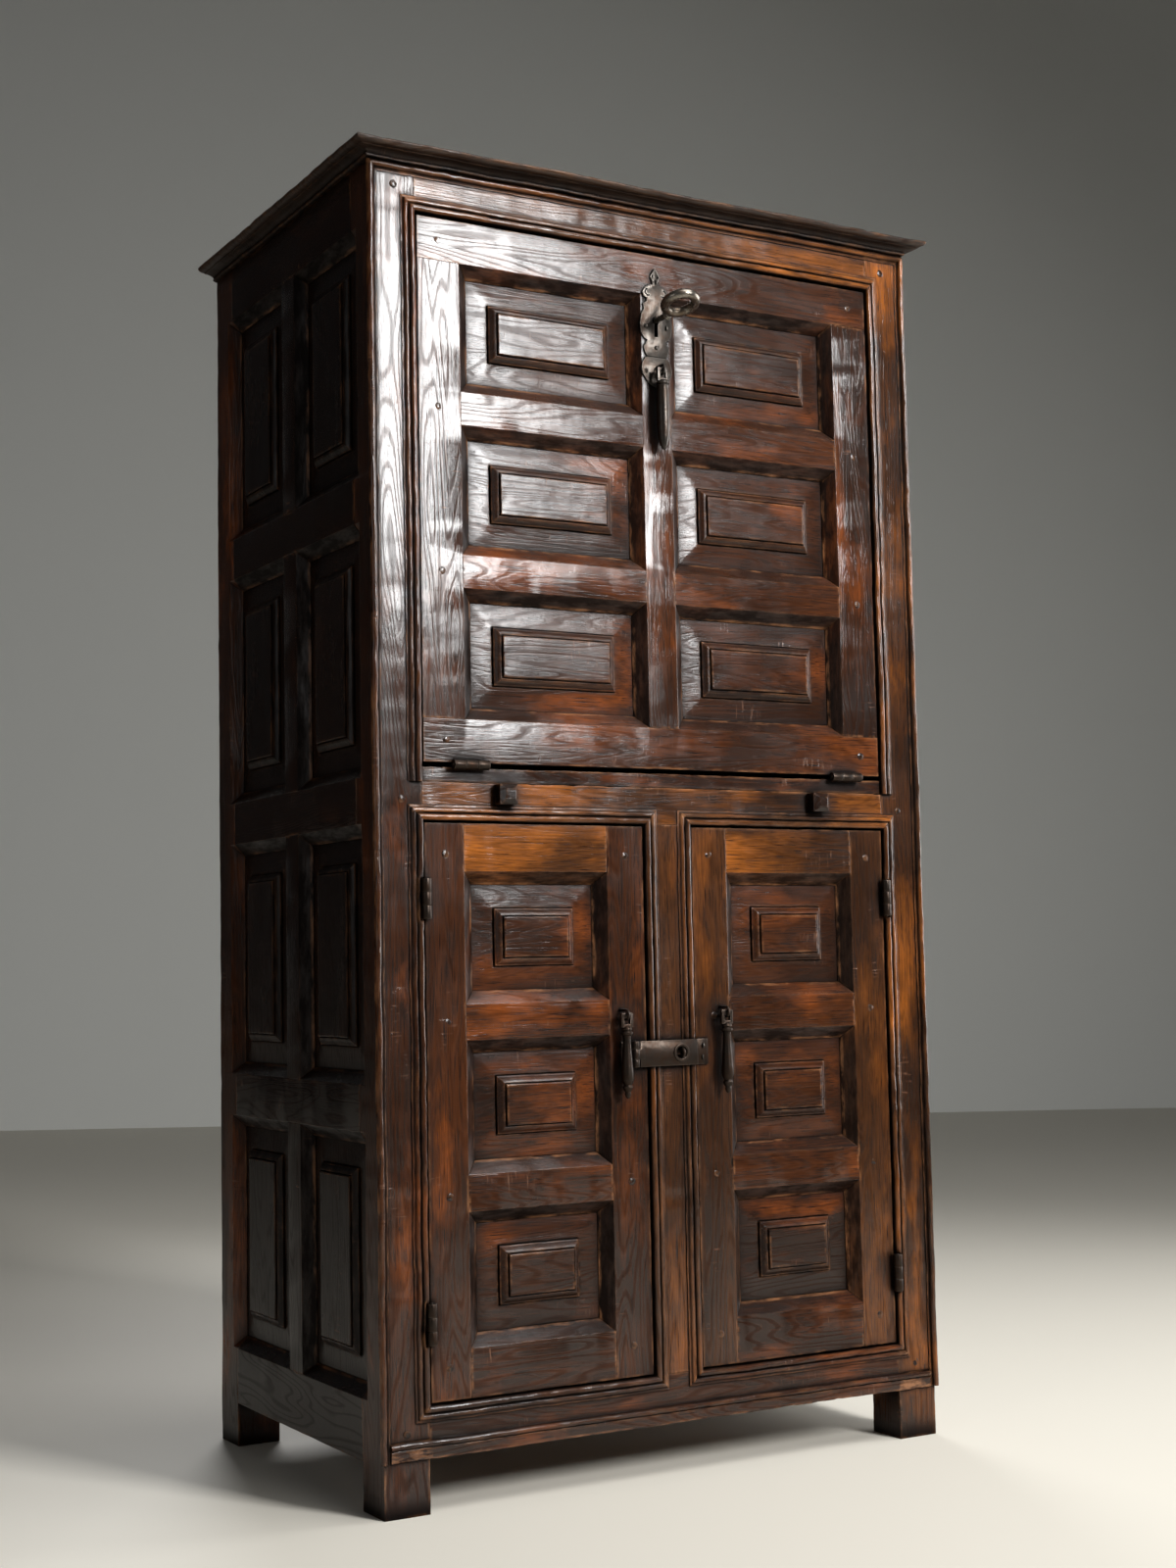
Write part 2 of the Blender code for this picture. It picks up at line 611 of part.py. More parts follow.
# The shelves lie in the first and the third of the rails between the rows of side panels
rail_middles = [w + side_half_w + SIDE_RAIL / 2 for w in side_rows]
SHELF_Z = [rail_middles[i] - SHELF_THICK / 2 for i in (0, 2)]
board_levels += [(z, z + SHELF_THICK) for z in SHELF_Z]
carvings = {}
for (name, side), at in zip(SIDES, (left_side, right_side)):
    carving = bmesh.new()
    for u in side_columns:
        for w in side_rows:
            add_carving(carving, at, u, w, side_half_u, side_half_w)
    carvings[name] = cutter(f"cut_{name}_side_panels", carving)
    housings = bmesh.new()
    for low, high in board_levels:
        add_block(housings, at, SIDE_FRONT - MM, SIDE_BACK + MM, SIDE_THICK - HOUSING - GAP,
                  SIDE_THICK + MM, low - GAP, high + GAP)
    housings = cutter(f"cut_{name}_housings", housings)
    wall = bmesh.new()
    add_member(wall, at, "u", SIDE_FRONT + GAP, SIDE_BACK - GAP, SIDE_BOTTOM, FRAME_TOP,
               0, SIDE_THICK, post_mortises, SIDE_TONGUE, SIDE_TONGUE_FRONT, SIDE_TONGUE_BACK)
    make(f"{name}_side", wall, WALNUT_DARK, cuts=[carvings[name], housings])


# Back: upright boards, tongued into the back posts

back = bmesh.new()
add_member(back, front, "u", -rail_face, rail_face, BACK_BOTTOM, FRAME_TOP, BACK_FRONT,
           BACK_FRONT + BACK_THICK, post_mortises, SIDE_TONGUE, BACK_TONGUE_FRONT, BACK_TONGUE_BACK)
seams = bmesh.new()
for i in range(1, BACK_BOARDS):
    x = -rail_face + 2 * rail_face * i / BACK_BOARDS
    face = BACK_FRONT + BACK_THICK
    add_prism(seams, flat_plan, [(x - 2 * MM, face + MM), (x + 2 * MM, face + MM), (x, face - 3 * MM)],
              BACK_BOTTOM - MM, FRAME_TOP + MM)
seams = cutter("cut_back_seams", seams)
make("back_boards", back, PINE, cuts=[seams])


# Posts: square, running down as the feet, with the mouldings of the front worked on them

post_mortises = cutter("cut_post_mortises", post_mortises)
for name, side in SIDES:
    across = sorted((side * HALF_WIDTH, side * OPENING_HALF))
    mouldings = bmesh.new()
    add_upright_moulding(mouldings, side * OPENING_HALF, side, MIDDLE_RAIL_TOP, FLAP_OPENING_TOP,
                         low_mitre=0)
    add_upright_moulding(mouldings, side * OPENING_HALF, side, DOOR_OPENING_BOTTOM, DOOR_OPENING_TOP)
    mouldings = cutter(f"join_{name}_post_moulding", mouldings)
    bead = bmesh.new()
    add_strip(bead, EDGE_BEAD,
              lambda u, v: Vector((side * (bead_out - u), -v, FOOT_HEIGHT)),
              lambda u, v: Vector((side * (bead_out - u), -v, bead_top - u - MITRE_GAP)))
    bead = cutter(f"join_{name}_post_bead", bead)
    hinges = bmesh.new()
    for z in DOOR_HINGE_Z:
        for end in (-1, 1):
            add_strap_recess(hinges, side, side, z + end * OUTER_KNUCKLE)
    hinges = cutter(f"cut_{name}_strap_recesses", hinges)
    notches = bmesh.new()
    notch_half = 1.5 * KNUCKLE + KNUCKLE_GAP + 2 * MM
    for z in DOOR_HINGE_Z:
        x = side * DOOR_AXIS_X
        add_block(notches, front, x - BARREL - MM, x + BARREL + MM, -14 * MM, -GAP,
                  z - notch_half, z + notch_half)
    notches = cutter(f"cut_{name}_barrel_notches", notches)
    post = bmesh.new()
    add_block(post, front, *across, 0, POST, 0, FRAME_TOP)
    make(f"front_{name}_post", post, WALNUT, joins=[mouldings, bead],
         cuts=[carvings[name], post_mortises, hinges, notches])
    post = bmesh.new()
    add_block(post, front, *across, DEPTH - POST, DEPTH, 0, FRAME_TOP)
    make(f"back_{name}_post", post, WALNUT, cuts=[carvings[name], post_mortises])


# Top: a board over the frame, and the mitred cornice along its front and side edges

TOP_LOW = FRAME_TOP + GAP
top = bmesh.new()
add_block(top, front, -HALF_WIDTH + GAP, HALF_WIDTH - GAP, GAP, DEPTH, TOP_LOW, TOP_LOW + BOARD)
make("top_board", top, WALNUT)

CORNICE = [(0, 0), (4, 0), (6.2, 1.2), (6.6, 3.0), (5.4, 4.4), (6.6, 6.2), (9.2, 7.9), (13, 9.0),
           (17.6, 9.4), (18, 10.2), (21.5, 10.6), (24.6, 11.8), (26.5, 13.8), (27, 15.8),
           (26, 17.4), (23.5, 18.2), (0, 18.3)]
cornice = bmesh.new()
points = [(p * MM, q * MM) for p, q in CORNICE]
corners = ((-1, DEPTH, 0), (-1, 0, 1), (1, 0, 1), (1, DEPTH, 0))
add_rings(cornice, [[Vector((s * (HALF_WIDTH + p), y - forward * p, TOP_LOW + q))
                     for p, q in points] for s, y, forward in corners])
make("cornice", cornice, WALNUT)


# Floors and shelves, housed in the sides and notched round the posts

def floor_outline(near):
    wide, narrow = INSIDE_HALF + HOUSING - GAP, OPENING_HALF - GAP
    low, high = POST + GAP, DEPTH - POST - GAP
    back_edge = BACK_FRONT - GAP
    return [(-narrow, near), (narrow, near), (narrow, low), (wide, low), (wide, high),
            (narrow, high), (narrow, back_edge), (-narrow, back_edge), (-narrow, high),
            (-wide, high), (-wide, low), (-narrow, low)]


def shelf_outline():
    wide, narrow = INSIDE_HALF + HOUSING - GAP, OPENING_HALF - GAP
    high, back_edge = DEPTH - POST - GAP, BACK_FRONT - GAP
    return [(-wide, SHELF_FRONT), (wide, SHELF_FRONT), (wide, high), (narrow, high),
            (narrow, back_edge), (-narrow, back_edge), (-narrow, high), (-wide, high)]


FLOOR_FRONT = FRAME_THICK + GAP
bottom = bmesh.new()
add_prism(bottom, flat_plan, floor_outline(FLOOR_FRONT), *board_levels[0])
make("bottom_board", bottom, PINE)

runners = bmesh.new()
for side in (-1, 1):
    x = side * LOPER_X
    inner = LOPER_WIDTH / 2 + GAP
    outer = inner + GUIDE_WALL
    low = LOPER_Z - LOPER_HEIGHT / 2 - GAP
    high = MIDDLE_RAIL_TOP + 3 * MM
    outline = [(x - outer, low - GUIDE_WALL), (x + outer, low - GUIDE_WALL), (x + outer, high),
               (x + inner, high), (x + inner, low), (x - inner, low), (x - inner, high),
               (x - outer, high)]
    add_prism(runners, on_face, outline, FLOOR_FRONT, FLOOR_FRONT + GUIDE_LENGTH)
runners = cutter("join_loper_runners", runners)
floor = bmesh.new()
add_prism(floor, flat_plan, floor_outline(LIP_SETBACK), *board_levels[1])
make("middle_floor", floor, WALNUT, joins=[runners])

for name, z in zip(("lower", "upper"), SHELF_Z):
    shelf = bmesh.new()
    add_prism(shelf, flat_plan, shelf_outline(), z, z + SHELF_THICK)
    make(f"{name}_shelf", shelf, PINE)


# Lopers: bars that slide out under the open flap, each with a square chamfered head

for name, side in (("left", -1), ("right", 1)):
    x = side * LOPER_X
    loper = bmesh.new()
    half_u, half_w = LOPER_WIDTH / 2, LOPER_HEIGHT / 2
    head = (LOPER_HEAD - LOPER_WIDTH) / 2
    head_w = (LOPER_HEAD - LOPER_HEIGHT) / 2
    rings = []
    for grow_u, grow_w, depth in ((0, 0, LOPER_LENGTH), (0, 0, -GAP), (head, head_w, -GAP),
                                  (head, head_w, -LOPER_HEAD_REACH + 6 * MM),
                                  (head - 4 * MM, head_w - 4 * MM, -LOPER_HEAD_REACH + 2 * MM),
                                  (head - 6 * MM, head_w - 6 * MM, -LOPER_HEAD_REACH)):
        a, b = half_u + grow_u, half_w + grow_w
        rings.append([front(x - a, depth, LOPER_Z - b), front(x + a, depth, LOPER_Z - b),
                      front(x + a, depth, LOPER_Z + b), front(x - a, depth, LOPER_Z + b)])
    add_rings(loper, rings)
    make(f"{name}_loper", loper, WALNUT_DARK, (x, 0, LOPER_Z))


# Hinges: straps rolled round a pin, two knuckles on the frame and one on the moving leaf

PIN_HALF = 1.5 * KNUCKLE + KNUCKLE_GAP
near_edge = DOOR_GAP_SIDE / 2 + GAP / 2
flap_strap = FLAP_GAP_BOTTOM / 2 - GAP


def knuckle_outline(radius, edge0, edge1, length, steps=16):
    """A rolled eye with its strap; the strap runs along +q between edge0 and edge1."""
    start = math.atan2(math.sqrt(radius ** 2 - edge0 ** 2), edge0)
    end = math.atan2(math.sqrt(radius ** 2 - edge1 ** 2), edge1) + 2 * math.pi
    turns = [start + (end - start) * i / steps for i in range(steps + 1)]
    points = [(radius * math.cos(t), radius * math.sin(t)) for t in turns]
    return [(edge0, length)] + points + [(edge1, length)]


def add_pin(bm, place, radius, half, crown):
    add_turning(bm, place, [(radius - crown, -half - crown), (radius, -half), (radius, half),
                            (radius - crown, half + crown)], 12)


def add_hinge(names, pivots, place, moving, fixed):
    """One hinge: the leaf on the frame carries the pin, the moving leaf turns on it."""
    leaf = bmesh.new()
    add_prism(leaf, place, knuckle_outline(BARREL, *moving, STRAP_LENGTH), -KNUCKLE / 2,
              KNUCKLE / 2, [circle(0, 0, PIN + GAP, 12)])
    make(names[0], leaf, IRON, pivots[0])
    pin = bmesh.new()
    add_pin(pin, place, PIN, PIN_HALF, 1.2 * MM)
    pin = cutter("join_" + names[1] + "_pin", pin)
    leaf = bmesh.new()
    for end in (-1, 1):
        middle = end * OUTER_KNUCKLE
        add_prism(leaf, place, knuckle_outline(BARREL, *fixed, STRAP_LENGTH), middle - KNUCKLE / 2,
                  middle + KNUCKLE / 2)
    make(names[1], leaf, IRON, pivots[1], joins=[pin])


for name, side in SIDES:
    x = side * FLAP_HINGE_X

    def flap_hinge(p, q, a, x=x):
        """Along the axis of the fall front: p up, q back, a to the right."""
        return FLAP_AXIS + Vector((x + a, q, p))

    add_hinge((f"flap_hinge_leaf_{name}", f"frame_hinge_leaf_{name}"), (FLAP_AXIS, FLAP_AXIS),
              flap_hinge, (flap_strap - STRAP, flap_strap), (-flap_strap, -flap_strap + STRAP))
    for level, z in zip(("lower", "upper"), DOOR_HINGE_Z):
        def door_hinge(p, q, a, side=side, z=z):
            """Along a door's axis: p towards the door, q back, a up."""
            return Vector((side * (DOOR_AXIS_X - p), q - HINGE_FORWARD, z + a))

        add_hinge((f"{name}_door_hinge_leaf_{level}", f"{name}_post_hinge_leaf_{level}"),
                  (door_axis(side), door_axis(side)), door_hinge,
                  (near_edge, near_edge + STRAP), (-near_edge - STRAP, -near_edge))


# Lock of the fall front: pierced plate, case let into the frame, sliding bolt and key

UPPER_PLATE = [(0, 75), (4.2, 69), (2.4, 63.5), (5, 60), (3.4, 54), (9, 53), (15, 49.5), (19, 43),
               (17.4, 37.5), (12, 36), (13.6, 31), (18.6, 28), (17, 22), (21.4, 14), (23.6, 3),
               (22.4, -9), (18, -16), (13, -18), (15.4, -22), (19, -27), (17.6, -33), (14, -38.6)]
LOWER_PLATE = [(13, -39.4), (17, -41), (20.4, -46.5), (22.6, -54), (21, -62), (15, -70), (8, -76),
               (0, -78)]


def plate_outline(half):
    """A plate drawn by its right half, from top to bottom, and mirrored."""
    right = [(x * MM, PLATE_Z + z * MM) for x, z in half]
    left = [(-x, z) for x, z in reversed(right) if x > 0]
    return right + left


keyhole = [(5.2 * MM * math.cos(math.radians(t)), KEY_Z + 5.2 * MM * math.sin(math.radians(t)))
           for t in range(-60, 241, 30)]
keyhole += [(-2.6 * MM, KEY_Z - 21 * MM), (2.6 * MM, KEY_Z - 21 * MM)]
plate = bmesh.new()
add_prism(plate, on_face, plate_outline(UPPER_PLATE), -GAP - PLATE_THICK, -GAP, [keyhole])
make("flap_lock_plate", plate, IRON, FLAP_AXIS)

case_half_w = (CASE_TOP - LOCK_CASE_LOW) / 2
case = bmesh.new()
add_rect_loft(case, front, 0, LOCK_CASE_LOW + case_half_w, LOCK_CASE_HALF, case_half_w,
              [(-LOCK_WALL, LEAF_THICK - LOCK_WALL), (-LOCK_WALL, CASE_FRONT), (0, CASE_FRONT),
               (0, LEAF_THICK)])
bolt_slot = bmesh.new()
add_block(bolt_slot, front, -BOLT_HALF - GAP, BOLT_HALF + GAP, BOLT_FRONT - GAP, BOLT_BACK + GAP / 2,
          CASE_TOP - 2 * LOCK_WALL, CASE_TOP + LOCK_WALL)
bolt_slot = cutter("cut_bolt_slot", bolt_slot)
make("flap_lock_case", case, IRON, FLAP_AXIS, cuts=[bolt_slot])
bolt = bmesh.new()
add_block(bolt, front, -BOLT_HALF, BOLT_HALF, BOLT_FRONT, BOLT_BACK, KEY_Z - 26 * MM, CASE_TOP)
make("lock_bolt", bolt, STEEL, (0, (BOLT_FRONT + BOLT_BACK) / 2, CASE_TOP))


def along_key(p, q, a):
    """About the axis of the key: a runs forward out of the cabinet."""
    return Vector((p, -a, KEY_Z + q))


bow = bmesh.new()
bow_path = [Vector((KEY_BOW_HALF[0] * math.cos(2 * math.pi * k / 24),
                    -KEY_BOW_FORWARD + KEY_BOW_HALF[1] * math.sin(2 * math.pi * k / 24), KEY_Z))
            for k in range(24)]
add_tube(bow, bow_path, KEY_SHANK, Vector((0, 0, 1)), closed=True)
bow = cutter("join_key_bow", bow)
bit = bmesh.new()
add_block(bit, front, 0, 15 * MM, CASE_FRONT + 1.5 * MM, BOLT_FRONT - 1.5 * MM,
          KEY_Z - 2.2 * MM, KEY_Z + 2.2 * MM)
bit = cutter("join_key_bit", bit)
key = bmesh.new()
neck = KEY_BOW_FORWARD - KEY_BOW_HALF[1]
add_turning(key, along_key,
            [(KEY_SHANK * 0.7, -BOLT_FRONT + 0.5 * MM), (KEY_SHANK, -BOLT_FRONT + 1.2 * MM),
             (KEY_SHANK, neck - 13 * MM), (KEY_SHANK + 1.6 * MM, neck - 12 * MM),
             (KEY_SHANK + 1.6 * MM, neck - 10 * MM), (KEY_SHANK + 0.2 * MM, neck - 9 * MM),
             (KEY_SHANK + 2.2 * MM, neck - 7.5 * MM), (KEY_SHANK + 2.2 * MM, neck - 5 * MM),
             (KEY_SHANK * 0.9, neck - 3.6 * MM), (KEY_SHANK * 0.7, neck + 0.6 * MM)], 12)
make("key", key, STEEL, (0, 0, KEY_Z), joins=[bow, bit])


# Drop pulls: a turned drop with a square eye, hung on a staple driven through the wood

def add_staple(bm, x, z, loop, wire, reach):
    """A bent wire whose two legs pass back through the wood."""
    path = [Vector((x, LEAF_THICK - 4 * MM, z + loop))]
    for i in range(9):
        turn = math.pi * i / 8
        path.append(Vector((x, -reach - loop * math.sin(turn), z + loop * math.cos(turn))))
    path.append(Vector((x, LEAF_THICK - 4 * MM, z - loop)))
    add_tube(bm, path, wire, Vector((1, 0, 0)))


DOOR_DROP = [(3.4, 13.2), (6.2, 16), (6.6, 17.6), (5.4, 19), (7.6, 21), (7.6, 23), (5.2, 25),
             (4.8, 29), (5.6, 46), (7.4, 68), (7.9, 77), (6.2, 81.5), (4.8, 83.5), (6.6, 86),
             (5.4, 89.5), (3.4, 92), (4.0, 94.5), (2.4, 98.5), (0.6, 100)]
FLAP_DROP = [(3.4, 13.2), (8.2, 16.2), (8.2, 17.8), (6.4, 19.2), (8.0, 21), (7.2, 23.4), (7.8, 30),
             (8.2, 50), (8.0, 74), (6.8, 87), (4.8, 95.5), (2.4, 100.5), (0.6, 102)]


def add_pull(name, x, z, profile):
    """A drop pull whose eye turns on the bar of its staple."""
    bar = PULL_BAR / 2
    eye_low = -15 * MM
    hole = [(-4.2 * MM, -11 * MM), (4.2 * MM, -11 * MM), (4.2 * MM, -bar), (-4.2 * MM, -bar)]
    outline = [(-PULL_EYE_HALF, eye_low), (PULL_EYE_HALF, eye_low), (PULL_EYE_HALF, bar - MM),
               (PULL_EYE_HALF - MM, bar), (-PULL_EYE_HALF + MM, bar), (-PULL_EYE_HALF, bar - MM)]
    eye = bmesh.new()
    add_prism(eye, lambda p, q, a: Vector((x + p, -PULL_FORWARD + a, z + q)), outline,
              -bar, bar, [hole])
    eye = cutter(f"join_{name}_eye", eye)
    drop = bmesh.new()
    add_turning(drop, lambda p, q, a: Vector((x + p, -PULL_FORWARD + q, z - a)),
                [(r * MM, a * MM) for r, a in profile])
    make(name, drop, IRON, (x, -PULL_FORWARD, z), joins=[eye])


staple = bmesh.new()
add_staple(staple, 0, FLAP_PULL_Z, STAPLE_LOOP, STAPLE_WIRE, PULL_FORWARD)
staple = cutter("join_flap_pull_staple", staple)
back_plate = bmesh.new()
add_prism(back_plate, on_face, plate_outline(LOWER_PLATE), -GAP - PLATE_THICK, -GAP)
make("flap_pull_plate", back_plate, IRON, FLAP_AXIS, joins=[staple])
add_pull("flap_pull", 0, FLAP_PULL_Z, FLAP_DROP)
for name, side in SIDES:
    staple = bmesh.new()
    add_staple(staple, side * DOOR_PULL_X, DOOR_PULL_Z, STAPLE_LOOP, STAPLE_WIRE, PULL_FORWARD)
    make(f"{name}_door_pull_staple", staple, IRON, door_axis(side))
    add_pull(f"{name}_door_pull", side * DOOR_PULL_X, DOOR_PULL_Z, DOOR_DROP)


# Hasp: a strap hinged on the left door that drops over a staple in the centre post

HASP_AXIS = Vector((HASP_PIVOT_X, -HASP_BARREL - GAP, HASP_Z))
HASP_KNUCKLE = 12 * MM
hasp_front = HASP_AXIS.y - HASP_THICK


def hasp_strap(p, q, a):
    """About the hasp's pin: p back, q to the right, a up."""
    return HASP_AXIS + Vector((q, p, a))


def bracket_strap(p, q, a):
    return HASP_AXIS + Vector((-q, p, a))


eye = bmesh.new()
add_prism(eye, hasp_strap, knuckle_outline(HASP_BARREL, -HASP_THICK, 0, 12 * MM), -HASP_KNUCKLE / 2,
          HASP_KNUCKLE / 2, [circle(0, 0, HASP_PIN + GAP, 12)])
eye = cutter("join_hasp_eye", eye)
washer = bmesh.new()
add_prism(washer, on_face, circle(HASP_HOLE_X, HASP_Z, HASP_HOLE + 3.5 * MM),
          hasp_front - 1.4 * MM, hasp_front + 1.2 * MM,
          [circle(HASP_HOLE_X, HASP_Z, HASP_HOLE + 0.4 * MM)])
washer = cutter("join_hasp_washer", washer)
strap = bmesh.new()
hasp_left = HASP_PIVOT_X + HASP_BARREL + 0.6 * MM
hasp_rect = [(hasp_left, HASP_Z - HASP_HEIGHT / 2), (HASP_END_X, HASP_Z - HASP_HEIGHT / 2),
             (HASP_END_X, HASP_Z + HASP_HEIGHT / 2), (hasp_left, HASP_Z + HASP_HEIGHT / 2)]
add_prism(strap, on_face, hasp_rect, hasp_front + 0.4 * MM, HASP_AXIS.y - 0.2 * MM,
          [circle(HASP_HOLE_X, HASP_Z, HASP_HOLE)])
make("hasp", strap, IRON, HASP_AXIS, joins=[eye, washer])

pin = bmesh.new()
add_pin(pin, lambda p, q, a: HASP_AXIS + Vector((p, q, a)), HASP_PIN, HASP_HEIGHT / 2, 0.8 * MM)
pin = cutter("join_hasp_pin", pin)
bracket = bmesh.new()
outer_half = (HASP_HEIGHT - HASP_KNUCKLE) / 2 - KNUCKLE_GAP
bracket_edge = HASP_BARREL - 0.1 * MM
for end in (-1, 1):
    middle = end * (HASP_KNUCKLE / 2 + KNUCKLE_GAP + outer_half / 2)
    add_prism(bracket, bracket_strap,
              knuckle_outline(HASP_BARREL, bracket_edge - STRAP, bracket_edge, 17 * MM),
              middle - outer_half / 2, middle + outer_half / 2)
make("hasp_bracket", bracket, IRON, door_axis(-1), joins=[pin])

keeper = bmesh.new()
keeper_left = DOOR_INNER + MM
add_block(keeper, front, keeper_left, keeper_left + 15 * MM, -GAP - PLATE_THICK, -GAP,
          HASP_Z - HASP_HEIGHT / 2, HASP_Z + HASP_HEIGHT / 2)
make("keeper_plate", keeper, IRON, door_axis(1))

staple = bmesh.new()
add_staple(staple, HASP_HOLE_X, HASP_Z, CENTRE_STAPLE_LOOP, CENTRE_STAPLE_WIRE, CENTRE_STAPLE_REACH)
make("centre_staple", staple, IRON)


# Whole cabinet moved so that the middle of its box stands over the origin

KEY_REACH = KEY_BOW_FORWARD + KEY_BOW_HALF[1] + KEY_SHANK
for obj in bpy.data.objects:
    obj.location.y += (KEY_REACH - DEPTH) / 2
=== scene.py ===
import json
import math
from functools import partial

import bpy
from mathutils import Matrix, Vector, noise

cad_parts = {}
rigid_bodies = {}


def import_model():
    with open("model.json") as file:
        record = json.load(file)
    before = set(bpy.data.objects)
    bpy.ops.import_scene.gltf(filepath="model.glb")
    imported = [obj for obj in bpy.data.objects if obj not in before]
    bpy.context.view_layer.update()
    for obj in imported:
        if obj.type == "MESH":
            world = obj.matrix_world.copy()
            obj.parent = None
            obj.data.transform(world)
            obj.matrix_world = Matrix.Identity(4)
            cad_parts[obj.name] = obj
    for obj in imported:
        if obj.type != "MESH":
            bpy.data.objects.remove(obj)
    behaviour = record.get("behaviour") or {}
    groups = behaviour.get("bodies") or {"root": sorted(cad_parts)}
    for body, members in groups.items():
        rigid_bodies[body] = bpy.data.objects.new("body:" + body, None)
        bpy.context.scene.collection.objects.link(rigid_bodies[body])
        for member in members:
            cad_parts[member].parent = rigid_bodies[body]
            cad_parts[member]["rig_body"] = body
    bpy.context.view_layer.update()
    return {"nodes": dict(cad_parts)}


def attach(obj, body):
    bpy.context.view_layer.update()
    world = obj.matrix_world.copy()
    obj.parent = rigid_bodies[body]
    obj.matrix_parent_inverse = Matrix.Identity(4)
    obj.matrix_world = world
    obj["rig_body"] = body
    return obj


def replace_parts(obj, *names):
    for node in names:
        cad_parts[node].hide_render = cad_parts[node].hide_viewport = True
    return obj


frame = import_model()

# Posts: four square walnut posts that run down as the feet, with the reeded mouldings of the
# front planed on the two front ones.  Tools and four centuries of rubbing have left no edge
# straight, the flats are worn to an orange brown and the hollows are filled with black wax,
# with painted shade laid over it.
MM = 0.001
FACE = -214.1 * MM


def linear(code):
    """An sRGB colour written as #rrggbb, as the linear numbers that a shader takes."""
    parts = [int(code[i:i + 2], 16) / 255 for i in (1, 3, 5)]
    return [p / 12.92 if p <= 0.04045 else ((p + 0.055) / 1.055) ** 2.4 for p in parts] + [1]


def add_node(tree, kind, links, out=0, **settings):
    """Adds a shader node with its settings, joins or sets its inputs, and gives one output."""
    made = tree.nodes.new("ShaderNode" + kind)
    for name, value in settings.items():
        setattr(made, name, value)
    for name, value in links.items():
        if isinstance(value, bpy.types.NodeSocket):
            tree.links.new(value, made.inputs[name])
        else:
            made.inputs[name].default_value = value
    return made.outputs[out] if out is not None else made


